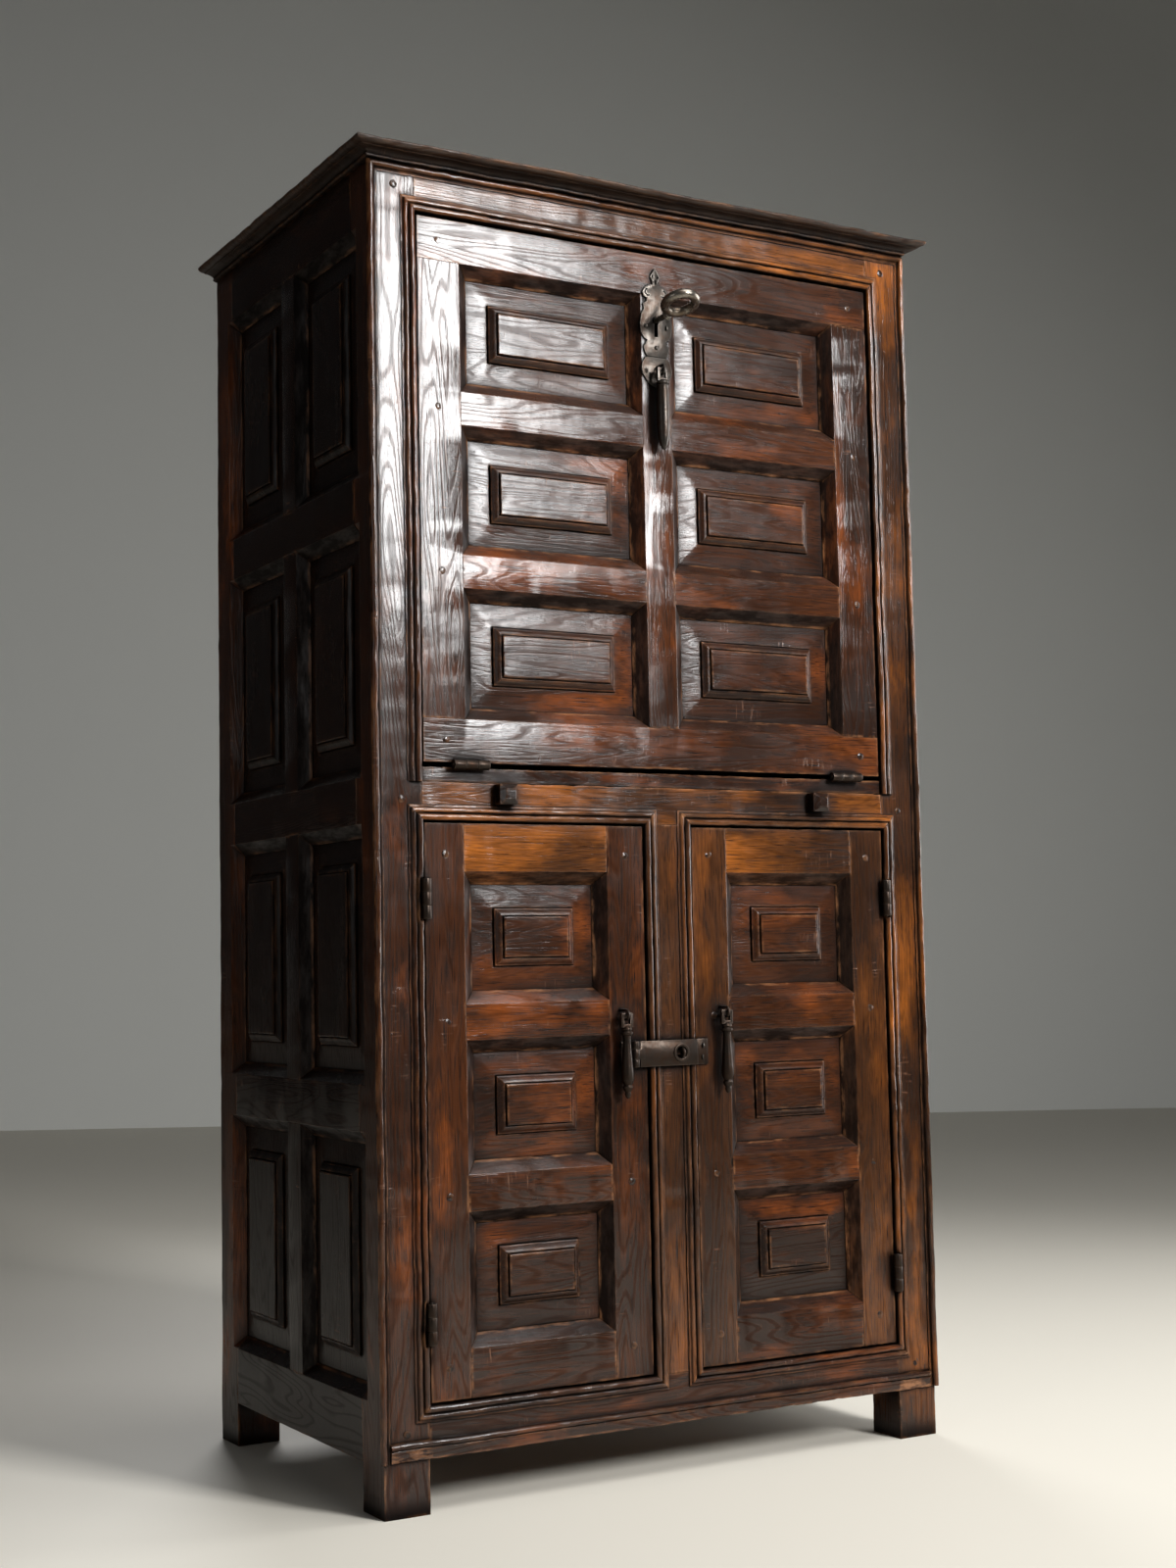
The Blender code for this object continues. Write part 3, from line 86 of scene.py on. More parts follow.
def walnut(name, grain, shade, body, rubbed, rub_from, worn, dust=0):
    """Old walnut, oiled and wax polished: growth lines and pores along the grain, orange where
    hands and cloths have rubbed the stain off, bright on worn edges with a painted highlight on
    them, black with old wax and painted shade in the corners, and a gloss that breaks on every
    pore.  grain is the axis of the board; shade, body and rubbed are its colours; rub_from says how
    rare the rubbed patches are; worn how much the edges show; dust how much the gloss is lost."""
    made = bpy.data.materials.new(name)
    made.use_nodes = True
    made.node_tree.nodes.clear()
    node = partial(add_node, made.node_tree)
    here = node("TexCoord", {}, "Object")
    # Each board is cut from another place in the log
    tone = node("Attribute", {}, "Fac", attribute_name="tone")
    log = node("VectorMath", {0: (3.1, 4.7, 2.3), "Scale": tone}, operation="SCALE")
    wood = node("VectorMath", {0: here, 1: log})
    # Millimetres across and along the grain.  Pores are 0.3 mm wide in walnut and are drawn
    # 1 mm wide so that they show.
    seen = {}
    for pattern, across, length, detail, rough in (
            ("swirl", 60, 520, 2, 0.5), ("fibre", 1.6, 75, 4, 0.6), ("pores", 1.0, 38, 2, 0.5),
            ("patch", 120, 230, 4, 0.6), ("rub", 75, 200, 5, 0.62), ("chips", 12, 40, 4, 0.7),
            ("wax", 40, 120, 4, 0.6), ("waves", 34, 90, 3, 0.5), ("scrapes", 24, 2.6, 2, 0.5),
            ("dents", 7, 11, 2, 0.5)):
        scale = [1000 / (length if axis == grain else across) for axis in "XYZ"]
        spot = node("Mapping", {"Vector": wood, "Scale": scale})
        seen[pattern] = node("TexNoise", {"Vector": spot, "Scale": 1, "Detail": detail,
                                          "Roughness": rough})
    # The swirl is cut into growth lines a few millimetres apart
    swirled = node("Math", {0: seen["swirl"], 1: 140}, operation="MULTIPLY")
    lines = node("Math", {0: swirled}, operation="SINE")
    figure = node("MapRange", {0: lines, 1: -1, 2: 1})
    groove = node("MapRange", {0: lines, 1: 0.35, 2: 0.95, 3: 0, 4: 0.55})
    grooved = node("Math", {0: groove, 1: 0.55}, operation="MULTIPLY")
    pores = node("MapRange", {0: seen["pores"], 1: 0.57, 2: 0.68})
    rub = node("MapRange", {0: seen["rub"], 1: rub_from, 2: rub_from + 0.26})
    streak = node("MapRange", {0: seen["fibre"], 1: 0.3, 2: 0.65, 3: 0.55, 4: 1})
    rub = node("Math", {0: rub, 1: streak}, operation="MULTIPLY")
    smoky = node("MapRange", {0: seen["patch"], 1: 0.4, 2: 0.58, 3: 0.64, 4: 0})
    scraped = node("MapRange", {0: seen["scrapes"], 1: 0.6, 2: 0.7})
    where = node("MapRange", {0: seen["wax"], 1: 0.58, 2: 0.66})
    scraped = node("Math", {0: scraped, 1: where}, operation="MULTIPLY")
    # Corners and quirks that a cloth can't reach, black with wax and painted shade, and edges
    # that everything touches, worn bright with a painted highlight
    # Painted shade: occlusion within 26 mm darkens the hollows and the faces close to other parts
    open_room = node("AmbientOcclusion", {"Distance": 26 * MM}, "AO", samples=6)
    dirt_and_painted_shade = node("MapRange", {0: open_room, 1: 0.66, 2: 1, 3: 1, 4: 0})
    # Black wax with painted shade, as laid on the chamfers and mouldings
    wax_mask_and_painted_shade = node("Attribute", {}, "Fac", attribute_name="wax")
    cleaned = node("MapRange", {0: seen["chips"], 1: 0.42, 2: 0.68, 3: 1, 4: 0.45})
    wax_mask_and_painted_shade = node("Math", {0: wax_mask_and_painted_shade, 1: cleaned}, operation="MULTIPLY")
    dirt_and_painted_shade = node("Math", {0: dirt_and_painted_shade, 1: wax_mask_and_painted_shade}, operation="MAXIMUM")
    # Painted shade in the quirks: occlusion within 6 mm darkens the narrow ones too
    narrow = node("AmbientOcclusion", {"Distance": 6 * MM}, "AO", samples=5)
    quirk = node("MapRange", {0: narrow, 1: 0.6, 2: 0.93, 3: 1, 4: 0})
    dirt_and_painted_shade = node("Math", {0: dirt_and_painted_shade, 1: quirk}, operation="MAXIMUM")
    # Worn edges, lightened to a pale brown that is also a painted highlight along arrises and
    # ridges
    solid = node("AmbientOcclusion", {"Distance": 4 * MM}, "AO", samples=6, inside=True,
                 only_local=True)
    arris = node("MapRange", {0: solid, 1: 0.5, 2: 0.95, 3: 1, 4: 0})
    chips = node("MapRange", {0: seen["chips"], 1: 0.45, 2: 0.65})
    edge = node("Math", {0: arris, 1: chips}, operation="MULTIPLY")
    bare = node("MapRange", {0: dirt_and_painted_shade, 1: 0.1, 2: 0.8, 3: worn, 4: 0.4 * worn})
    edge = node("Math", {0: edge, 1: bare}, operation="MULTIPLY")
    # The feet are darker over their lowest 100 mm, most below 20 mm
    height = node("SeparateXYZ", {0: here}, "Z")
    darker_near_floor = node("MapRange", {0: height, 1: 20 * MM, 2: 100 * MM, 3: 0.6, 4: 0})

    grained = node("Math", {0: figure, 1: 0.16}, operation="MULTIPLY")
    grained = node("Math", {0: seen["fibre"], 1: 0.6, 2: grained}, operation="MULTIPLY_ADD")
    grained = node("Math", {0: tone, 1: 0.18, 2: grained}, operation="MULTIPLY_ADD")
    grained = node("MapRange", {0: grained, 1: 0.2, 2: 0.62})
    colour = node("Mix", {0: grained, 6: linear(shade), 7: linear(body)}, 2, data_type="RGBA")
    # The mixes lay the stains, wax and wear over the grain, painted shade into the hollows and a
    # painted highlight along the worn edges
    for amount, over in (
            (rub, rubbed), (smoky, "#160d08"), (pores, "#150b07"), (grooved, "#1a0d08"),
            (scraped, "#5d4030"), (darker_near_floor, "#1a100c"), (dirt_and_painted_shade, "#080504"), (edge, "#9c6b47")):
        colour = node("Mix", {0: amount, 6: colour, 7: linear(over)}, 2, data_type="RGBA")

    gloss = node("MapRange", {0: seen["wax"], 1: 0.3, 2: 0.7, 3: 0.13 + dust, 4: 0.24 + dust})
    gloss = node("Math", {0: dirt_and_painted_shade, 1: 0.3, 2: gloss}, operation="MULTIPLY_ADD")
    # Polish reaches the open faces; the hollows, with their crust of wax and dust and their
    # painted shade, are dull
    dull = node("Math", {0: dirt_and_painted_shade, 1: groove}, operation="MAXIMUM")
    polish = node("MapRange", {0: dull, 1: 0, 2: 0.9, 3: 0.4, 4: 0.04})
    relief = node("Math", {0: pores, 1: -0.2, 2: seen["fibre"]}, operation="MULTIPLY_ADD")
    relief = node("Math", {0: groove, 1: -0.9, 2: relief}, operation="MULTIPLY_ADD")
    relief = node("Math", {0: scraped, 1: -0.8, 2: relief}, operation="MULTIPLY_ADD")
    surface = node("Bevel", {"Radius": 1.4 * MM}, samples=4)
    for bumps, depth, strength in ((seen["waves"], 1.2 * MM, 0.33),
                                   (seen["dents"], 0.25 * MM, 0.5), (relief, 0.16 * MM, 0.7)):
        surface = node("Bump", {"Height": bumps, "Normal": surface, "Distance": depth,
                                "Strength": strength})
    skin = node("BsdfPrincipled", {"Base Color": colour, "Roughness": gloss, "Normal": surface,
                                   "IOR": 1.5, "Specular IOR Level": polish})
    node("OutputMaterial", {"Surface": skin}, None)
    return made


OLD_WALNUT = ("#231209", "#502b15", "#964c1a", 0.52, 0.7)
walnut_upright = walnut("old_walnut_upright_grain", "Z", *OLD_WALNUT)
walnut_level = walnut("old_walnut_level_grain", "X", *OLD_WALNUT)
# The same wood on the pieces that hands, cloths and daylight reach most
rubbed_upright = walnut("rubbed_walnut_upright_grain", "Z",
                        "#25140a", "#54321a", "#864b1c", 0.48, 0.7)
rubbed_level = walnut("rubbed_walnut_level_grain", "X",
                      "#2b180c", "#6a3e1c", "#aa6122", 0.41, 0.7)
bleached_upright = walnut("bleached_walnut_upright_grain", "Z",
                          "#26150a", "#553118", "#a55c1c", 0.43, 0.8)


def only(piece):
    """Leaves one piece selected and active for the operators that follow."""
    bpy.ops.object.select_all(action="DESELECT")
    piece.select_set(True)
    bpy.context.view_layer.objects.active = piece


# The wear is drawn from noise with a fixed start, so that it falls the same way on every run.  It
# has slow and quick waves and nicks, so many in a metre.
noise.seed_set(17)
SLOW_WAVES, QUICK_WAVES, NICKS = 11, 52, 120


def hand_worked(piece, spacing, wander, nicks, crease=38):
    """Cuts the faces into short lengths, lets them wander by a fraction of a millimetre and knocks
    nicks into them.  spacing is the distance between the cuts along x, y and z, or 0 for none;
    crease is the angle in degrees from which an edge stays crisp."""
    only(piece)
    corners = [Vector(c) for c in piece.bound_box]
    bpy.ops.object.mode_set(mode="EDIT")
    for axis, step in enumerate(spacing):
        low = min(c[axis] for c in corners)
        length = max(c[axis] for c in corners) - low
        count = int(length / step) if step else 0
        for i in range(1, count):
            point = [0, 0, 0]
            point[axis] = low + length * i / count
            normal = [0, 0, 0]
            normal[axis] = 1
            bpy.ops.mesh.select_all(action="SELECT")
            bpy.ops.mesh.bisect(plane_co=point, plane_no=normal)
    bpy.ops.object.mode_set(mode="OBJECT")
    outward = [vertex.normal.copy() for vertex in piece.data.vertices]
    for vertex, out in zip(piece.data.vertices, outward):
        slow = noise.noise_vector(vertex.co * SLOW_WAVES)
        quick = noise.noise_vector(vertex.co * QUICK_WAVES)
        nick = max(0, noise.noise(vertex.co * NICKS) - 0.3)
        vertex.co += wander * (slow * 0.7 + quick * 0.45) - out * nicks * nick
    bpy.ops.object.shade_smooth_by_angle(angle=math.radians(crease))


def finish_wood(piece, body, material):
    """Gives a wooden piece its own tone, its finish and the body that it moves with."""
    corners = [Vector(c) for c in piece.bound_box]
    centre = sum(corners, Vector()) / 8
    tones = piece.data.attributes.new("tone", "FLOAT", "POINT")
    for item in tones.data:
        item.value = noise.noise(centre * 31)
    piece.data.materials.clear()
    piece.data.materials.append(material)
    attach(piece, body)


def solid_copy(node, name):
    """A copy of a solid to be worked on: its triangles are joined to whole faces, and the shading
    that came with them is dropped."""
    piece = bpy.data.objects.new(name, frame["nodes"][node].data.copy())
    bpy.context.scene.collection.objects.link(piece)
    only(piece)
    bpy.ops.mesh.customdata_custom_splitnormals_clear()
    bpy.ops.object.mode_set(mode="EDIT")
    bpy.ops.mesh.select_all(action="SELECT")
    bpy.ops.mesh.remove_doubles(threshold=0.01 * MM)
    bpy.ops.mesh.dissolve_limited(angle_limit=math.radians(1))
    bpy.ops.object.mode_set(mode="OBJECT")
    return piece


def worn_copy(node, spacing, wander, material):
    """A solid as time has left it: its own shape, with edges that wander and are nicked."""
    piece = solid_copy(node, "worn_" + node)
    hand_worked(piece, spacing, wander, nicks=2.4 * MM)
    finish_wood(piece, frame["nodes"][node]["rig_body"], material)
    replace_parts(piece, node)
    return piece


worn_copy("front_left_post", (0, 0, 7 * MM), 1.5 * MM, walnut_upright)
worn_copy("front_right_post", (0, 0, 7 * MM), 1.5 * MM, bleached_upright)
worn_copy("back_left_post", (0, 0, 14 * MM), 1.2 * MM, walnut_upright)
worn_copy("back_right_post", (0, 0, 14 * MM), 1.2 * MM, walnut_upright)

# Front rails and centre post: walnut rails tenoned between the posts, with the same mouldings
# stuck on them and mitred at the corners; the floor of the upper stage shows as a lip above the
# middle rail.
worn_copy("front_top_rail", (7 * MM, 0, 0), 1.1 * MM, rubbed_level)
worn_copy("front_middle_rail", (7 * MM, 0, 0), 1.0 * MM, rubbed_level)
worn_copy("front_bottom_rail", (7 * MM, 0, 0), 1.2 * MM, walnut_level)
worn_copy("centre_post", (0, 0, 7 * MM), 0.9 * MM, rubbed_upright)
worn_copy("middle_floor", (7 * MM, 0, 0), 1.2 * MM, walnut_level)

# Cornice and top: a walnut moulding mitred round the front and sides and pegged on the frame,
# over a plain board; both are dull and dusty on top.
walnut_dusty = walnut("dusty_walnut", "X", "#1f140d", "#402a1a", "#6b4222", 0.6, 0.6, dust=0.22)
worn_copy("cornice", (8 * MM, 8 * MM, 0), 1.6 * MM, walnut_dusty)
frame["nodes"]["top_board"].material_slots[0].material = walnut_dusty

# Sides: walnut rails tongued between the posts, short muntins between the rails, and two columns
# of four fielded panels.  They stand in the dark of the room; their walnut is a darker copy, a
# black stain with painted shade laid into it.
STAINED_AND_SHADED_WALNUT = ("#150c08", "#2c1a11", "#54301a", 0.6, 0.5)
walnut_side_level = walnut("stained_and_shaded_walnut_level_grain", "Y", *STAINED_AND_SHADED_WALNUT)
walnut_side_upright = walnut("stained_and_shaded_walnut_upright_grain", "Z", *STAINED_AND_SHADED_WALNUT)
CHAMFER = 15 * MM
CHAMFER_DEPTH = 13.5 * MM
GROOVE_FRONT = 14.2 * MM
GROOVE_BACK = 20.8 * MM
GROOVE_DEEP = 8.3 * MM
# Panel steps from the tongue to the flat of the tablet: growth of the half sizes, and depth, in
# millimetres.  A quirk runs round the foot of the moulding and another round the flat.
PANEL_STEPS = [(8, 20.5), (8, 14.5), (0, 14.5), (-27, 12.3), (-27.3, 13.4), (-28.2, 13.3),
               (-28.5, 9.7), (-29.9, 9.2), (-31.6, 7.3), (-34, 5.5), (-36.6, 4.8), (-37, 6),
               (-37.9, 5.9), (-38.3, 3), (-39.2, 2.4), (-43, 2.3)]
# Turns what Blender makes lying flat up to face the front
TO_FRONT = (math.radians(90), 0, 0)


def stepped_block(name, half_u, half_w, steps):
    """A block that faces -Y, drawn out of a plane step by step: growth of its half sizes, depth."""
    grow, depth = steps[0]
    bpy.ops.mesh.primitive_plane_add(size=1, location=(0, depth, 0), rotation=TO_FRONT)
    piece = bpy.context.object
    piece.name = name
    piece.scale = (2 * (half_u + grow), 2 * (half_w + grow), 1)
    bpy.ops.object.transform_apply(location=True, rotation=True, scale=True)
    bpy.ops.object.mode_set(mode="EDIT")
    bpy.ops.mesh.select_all(action="SELECT")
    for (grow, depth), (next_grow, next_depth) in zip(steps, steps[1:]):
        forward = {"value": (0, next_depth - depth, 0)}
        bpy.ops.mesh.extrude_region_move(TRANSFORM_OT_translate=forward)
        wider = (half_u + next_grow) / (half_u + grow)
        taller = (half_w + next_grow) / (half_w + grow)
        bpy.ops.transform.resize(value=(wider, 1, taller), center_override=(0, next_depth, 0))
    bpy.ops.mesh.select_all(action="SELECT")
    bpy.ops.mesh.normals_make_consistent(inside=False)
    bpy.ops.object.mode_set(mode="OBJECT")
    return piece


def fielded_panel(name, half_u, half_w, step, wander, moulding_wax_and_painted_shade):
    """A panel with a sloping border and a moulded tablet.  The last argument says how much black
    wax its moulding holds, together with painted shade."""
    piece = stepped_block(name, half_u, half_w, [(g * MM, d * MM) for g, d in PANEL_STEPS])
    # Black wax with painted shade on the moulding, less on the flat of the tablet, none on the
    # border
    wax = piece.data.attributes.new("wax", "FLOAT", "POINT")
    for vertex, item in zip(piece.data.vertices, wax.data):
        on_border, on_moulding = vertex.co.y > 12 * MM, vertex.co.y > 4 * MM
        item.value = 0 if on_border else moulding_wax_and_painted_shade if on_moulding else 0.4 * moulding_wax_and_painted_shade
    hand_worked(piece, (step, 0, step), wander, nicks=0.8 * MM, crease=20)
    return piece


def opening_cutter(half_u, half_w):
    """The room that a chamfered and grooved panel opening takes out of its framing."""
    over = 2 * MM
    steps = [(CHAMFER + over * CHAMFER / CHAMFER_DEPTH, -over), (0, CHAMFER_DEPTH),
             (0, GROOVE_FRONT), (GROOVE_DEEP, GROOVE_FRONT), (GROOVE_DEEP, GROOVE_BACK),
             (0, GROOVE_BACK), (0, 30 * MM)]
    return stepped_block("opening_cutter", half_u, half_w, steps)


def placed_copy(piece, name, move, turn=0):
    """A copy with its own mesh, turned about the upright axis and moved within that mesh."""
    made = bpy.data.objects.new(name, piece.data.copy())
    bpy.context.scene.collection.objects.link(made)
    made.data.transform(Matrix.Translation(move) @ Matrix.Rotation(turn, 4, "Z"))
    return made


def board(name, low, high, mitres=(), across=0, slack=-0.06 * MM):
    """A board planed square that runs or stands across the given axis.  mitres are the corners of
    the openings where it is sawn off at 45 degrees, as (along, up) and the signs of the waste.  It
    is short of its joints by a hair; with slack above 0 it is the room that the board takes."""
    grow = [slack, slack, slack]
    grow[1 - across] = MM if slack > 0 else 0
    low = [a - g for a, g in zip(low, grow)]
    high = [b + g for b, g in zip(high, grow)]
    bpy.ops.mesh.primitive_cube_add(size=1, location=[(a + b) / 2 for a, b in zip(low, high)])
    piece = bpy.context.object
    piece.name = name
    piece.scale = [b - a for a, b in zip(low, high)]
    bpy.ops.object.transform_apply(location=True, rotation=True, scale=True)
    bpy.ops.object.mode_set(mode="EDIT")
    for along, up, side, rise in mitres:
        point = [0, 0, up + rise * slack]
        point[across] = along + side * slack
        normal = [0, 0, rise]
        normal[across] = side
        bpy.ops.mesh.select_all(action="SELECT")
        bpy.ops.mesh.bisect(plane_co=point, plane_no=normal, use_fill=True, clear_outer=True)
    bpy.ops.mesh.select_all(action="SELECT")
    bpy.ops.mesh.normals_make_consistent(inside=False)
    bpy.ops.object.mode_set(mode="OBJECT")
    return piece


def cut_out(piece, cutter):
    """Takes the room of another piece out of one."""
    only(piece)
    cut = piece.modifiers.new("cut", "BOOLEAN")
    cut.operation = "DIFFERENCE"
    cut.solver = "EXACT"
    cut.object = cutter
    bpy.ops.object.modifier_apply(modifier=cut.name)


def ease_edges(piece, width, angle):
    """Rounds the edges of a piece that turn by more than an angle in degrees."""
    only(piece)
    ease = piece.modifiers.new("eased_edges", "BEVEL")
    ease.width = width
    ease.segments = 2
    ease.limit_method = "ANGLE"
    ease.angle_limit = math.radians(angle)
    bpy.ops.object.modifier_apply(modifier=ease.name)


def framed(blank, cutters, spacing, body, material):
    """A member of a frame: a copy of its blank, with the members that go first and the openings
    cut out of it, its edges eased and its faces planed by hand."""
    piece = placed_copy(blank, blank.name.replace("_blank", ""), (0, 0, 0))
    mine = [Vector(c) for c in blank.bound_box]
    for cutter in cutters:
        other = [Vector(c) for c in cutter.bound_box]
        apart = [min(c[i] for c in other) > max(c[i] for c in mine) - 1e-6
                 or max(c[i] for c in other) < min(c[i] for c in mine) + 1e-6 for i in range(3)]
        if not any(apart):
            cut_out(piece, cutter)
    ease_edges(piece, 0.9 * MM, 32)
    # Old black wax on the chamfers, with painted shade: darkest on those that face down or
    # sideways, lightest on those that face up
    wax = piece.data.attributes.new("wax", "FLOAT", "FACE")
    for face, item in zip(piece.data.polygons, wax.data):
        slope = max(abs(face.normal.x), abs(face.normal.y))
        chamfered = 0.7 <= slope <= 0.79
        item.value = 0 if not chamfered else 0.3 if face.normal.z > 0.3 else 0.85
    hand_worked(piece, spacing, 0.5 * MM, nicks=1.2 * MM, crease=12)
    finish_wood(piece, body, material)
    return piece


def remove(pieces):
    """Clears away patterns, blanks and cutters that have done their work."""
    for piece in pieces:
        bpy.data.objects.remove(piece, do_unlink=True)


# Boards are left this much too wide where an opening is cut into them, and take this room in others
SPARE = 5 * MM
ROOM = 0.1 * MM
SIDE_OUT = 390 * MM
SIDE_THICK = 26 * MM
RAIL_FRONT, RAIL_REAR = FACE + 57.3 * MM, FACE + 454.7 * MM
MUNTIN_FRONT, MUNTIN_REAR = FACE + 221 * MM, FACE + 291 * MM
side_columns = [139 * MM, 373 * MM]
side_rows = [275.375 * MM, 630.125 * MM, 984.875 * MM, 1339.625 * MM]
side_rails = [(55, 140), (410.75, 494.75), (765.5, 849.5), (1120.25, 1204.25), (1475, 1559.7)]
side_opening = (82 * MM, 135.375 * MM)
pattern_cutter = opening_cutter(*side_opening)
pattern_panel = fielded_panel("side_panel", *side_opening, 11 * MM, 0.6 * MM, 0.6)
for side, out, turn in (("left", -1, math.radians(-90)), ("right", 1, math.radians(90))):
    cutters = []
    for column, u in zip(("front", "rear"), side_columns):
        for row, w in enumerate(side_rows):
            place = (out * SIDE_OUT, FACE + u, w)
            cutters.append(placed_copy(pattern_cutter, "side_cutter", place, turn))
            panel = placed_copy(pattern_panel, f"{side}_side_panel_{column}_{row + 1}", place, turn)
            finish_wood(panel, "carcass", walnut_side_upright)
            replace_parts(panel, f"{side}_side")
    near, far = sorted((out * SIDE_OUT, out * (SIDE_OUT - SIDE_THICK)))
    muntins, rails, saws = [], [], []
    for i, (below, above) in enumerate(zip(side_rails, side_rails[1:])):
        low, high = below[1] * MM, above[0] * MM
        mitres = [(y, z, away, rise) for y, away in ((MUNTIN_FRONT, -1), (MUNTIN_REAR, 1))
                  for z, rise in ((low, -1), (high, 1))]
        size = ((near, MUNTIN_FRONT - SPARE, low - CHAMFER),
                (far, MUNTIN_REAR + SPARE, high + CHAMFER), mitres, 1)
        muntins.append(board(f"{side}_side_muntin_{i + 1}_blank", *size))
        saws.append(board("muntin_room", *size, slack=ROOM))
    for i, (low, high) in enumerate(side_rails):
        low = low * MM - (SPARE if i > 0 else 0)
        high = high * MM + (SPARE if i < len(side_rails) - 1 else 0)
        rails.append(board(f"{side}_side_rail_{i + 1}_blank", (near, RAIL_FRONT, low),
                           (far, RAIL_REAR, high), across=1))
    for blank in muntins:
        muntin = framed(blank, cutters, (0, 0, 18 * MM), "carcass", walnut_side_upright)
        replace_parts(muntin, f"{side}_side")
    for blank in rails:
        rail = framed(blank, cutters + saws, (0, 18 * MM, 0), "carcass", walnut_side_level)
        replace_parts(rail, f"{side}_side")
    remove(cutters + muntins + rails + saws)
remove([pattern_cutter, pattern_panel])

# Inside: pine back boards, floor and shelves, planed by hand, unpolished and brown with age.
AGED_PINE = ("#4a3018", "#8a6238", "#a9773f", 0.55, 0.3)
pine_level = walnut("aged_pine_level_grain", "X", *AGED_PINE)
pine_upright = walnut("aged_pine_upright_grain", "Z", *AGED_PINE)
frame["nodes"]["back_boards"].material_slots[0].material = pine_upright
for node in ("bottom_board", "lower_shelf", "upper_shelf"):
    frame["nodes"][node].material_slots[0].material = pine_level

# Fall front: a walnut frame of two long rails over two stiles, a muntin and four short cross
# rails, mitred where their chamfers meet, round six fielded panels that lie loose in grooves.
LEAF_BACK = FACE + 26 * MM
FLAP_HALF = 330 * MM
FLAP_LOW, FLAP_HIGH = 851.5 * MM, 1502 * MM
# Inner edges of the end rails, and how far the uprights run up their chamfers
INNER_LOW, INNER_HIGH = 917.5 * MM, 1436 * MM
UPRIGHT_LOW, UPRIGHT_HIGH = 902.5 * MM, 1451 * MM
flap_columns = [-148 * MM, 148 * MM]
flap_rows = [980.583 * MM, 1176.75 * MM, 1372.917 * MM]
flap_opening = (112 * MM, 63.083 * MM)
pattern_cutter = opening_cutter(*flap_opening)
pattern_panel = fielded_panel("flap_panel", *flap_opening, 9 * MM, 0.7 * MM, 0.4)
cutters = []
for column, u in zip(("left", "right"), flap_columns):
    for row, w in zip(("lower", "middle", "upper"), flap_rows):
        cutters.append(placed_copy(pattern_cutter, "flap_cutter", (u, FACE, w)))
        panel = placed_copy(pattern_panel, f"fielded_flap_panel_{column}_{row}", (u, FACE, w))
        finish_wood(panel, "flap", walnut_level)
        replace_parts(panel, f"flap_panel_{column}_{row}")
cross_rails, rail_saws = [], []
for row, low, high in (("lower", 1043.667 * MM, 1113.667 * MM),
                       ("upper", 1239.833 * MM, 1309.833 * MM)):
    for column, x0, x1 in (("left", -275 * MM, -21 * MM), ("right", 21 * MM, 275 * MM)):
        mitres = [(x, z, away, rise) for x, away in ((x0 + CHAMFER, -1), (x1 - CHAMFER, 1))
                  for z, rise in ((low, -1), (high, 1))]
        size = ((x0, FACE, low - SPARE), (x1, LEAF_BACK, high + SPARE), mitres)
        cross_rails.append(board(f"flap_cross_rail_{column}_{row}_blank", *size))
        rail_saws.append(board("cross_rail_room", *size, slack=ROOM))
uprights, upright_saws = [], []
for name, x0, x1, corners in (
        ("left_stile", -FLAP_HALF, -260 * MM, [(-260 * MM, 1)]),
        ("muntin", -36 * MM, 36 * MM, [(-36 * MM, -1), (36 * MM, 1)]),
        ("right_stile", 260 * MM, FLAP_HALF, [(260 * MM, -1)])):
    mitres = [(x, z, away, rise) for x, away in corners
              for z, rise in ((INNER_LOW, -1), (INNER_HIGH, 1))]
    size = ((x0 - (SPARE if x0 > -FLAP_HALF else 0), FACE, UPRIGHT_LOW),
            (x1 + (SPARE if x1 < FLAP_HALF else 0), LEAF_BACK, UPRIGHT_HIGH), mitres)
    uprights.append(board(f"flap_{name}_blank", *size))
    upright_saws.append(board("upright_room", *size, slack=ROOM))
end_rails = []
for name, low, high in (("bottom", FLAP_LOW, INNER_LOW + SPARE),
                        ("top", INNER_HIGH - SPARE, FLAP_HIGH)):
    end_rails.append(board(f"flap_{name}_rail_blank", (-FLAP_HALF, FACE, low),
                           (FLAP_HALF, LEAF_BACK, high)))
# Room for the lock case in the back of the frame, with the keyhole through to the face
lock_room = [board("lock_room", (-24.3 * MM, FACE + 15.3 * MM, 1371.7 * MM),
                   (24.3 * MM, LEAF_BACK + MM, 1503 * MM), slack=0),
             board("key_way", (-5 * MM, FACE - MM, 1396 * MM),
                   (5 * MM, FACE + 17 * MM, 1425 * MM), slack=0)]
for blanks, first, spacing, material in (
        (cross_rails, [], (12 * MM, 0, 0), walnut_level),
        (uprights, rail_saws + lock_room, (0, 0, 12 * MM), walnut_upright),
        (end_rails, upright_saws + lock_room, (12 * MM, 0, 0), walnut_level)):
    for blank in blanks:
        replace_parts(framed(blank, cutters + first, spacing, "flap", material), "flap_frame")
remove(cutters + cross_rails + rail_saws + uprights + upright_saws + end_rails + lock_room)
remove([pattern_cutter, pattern_panel])

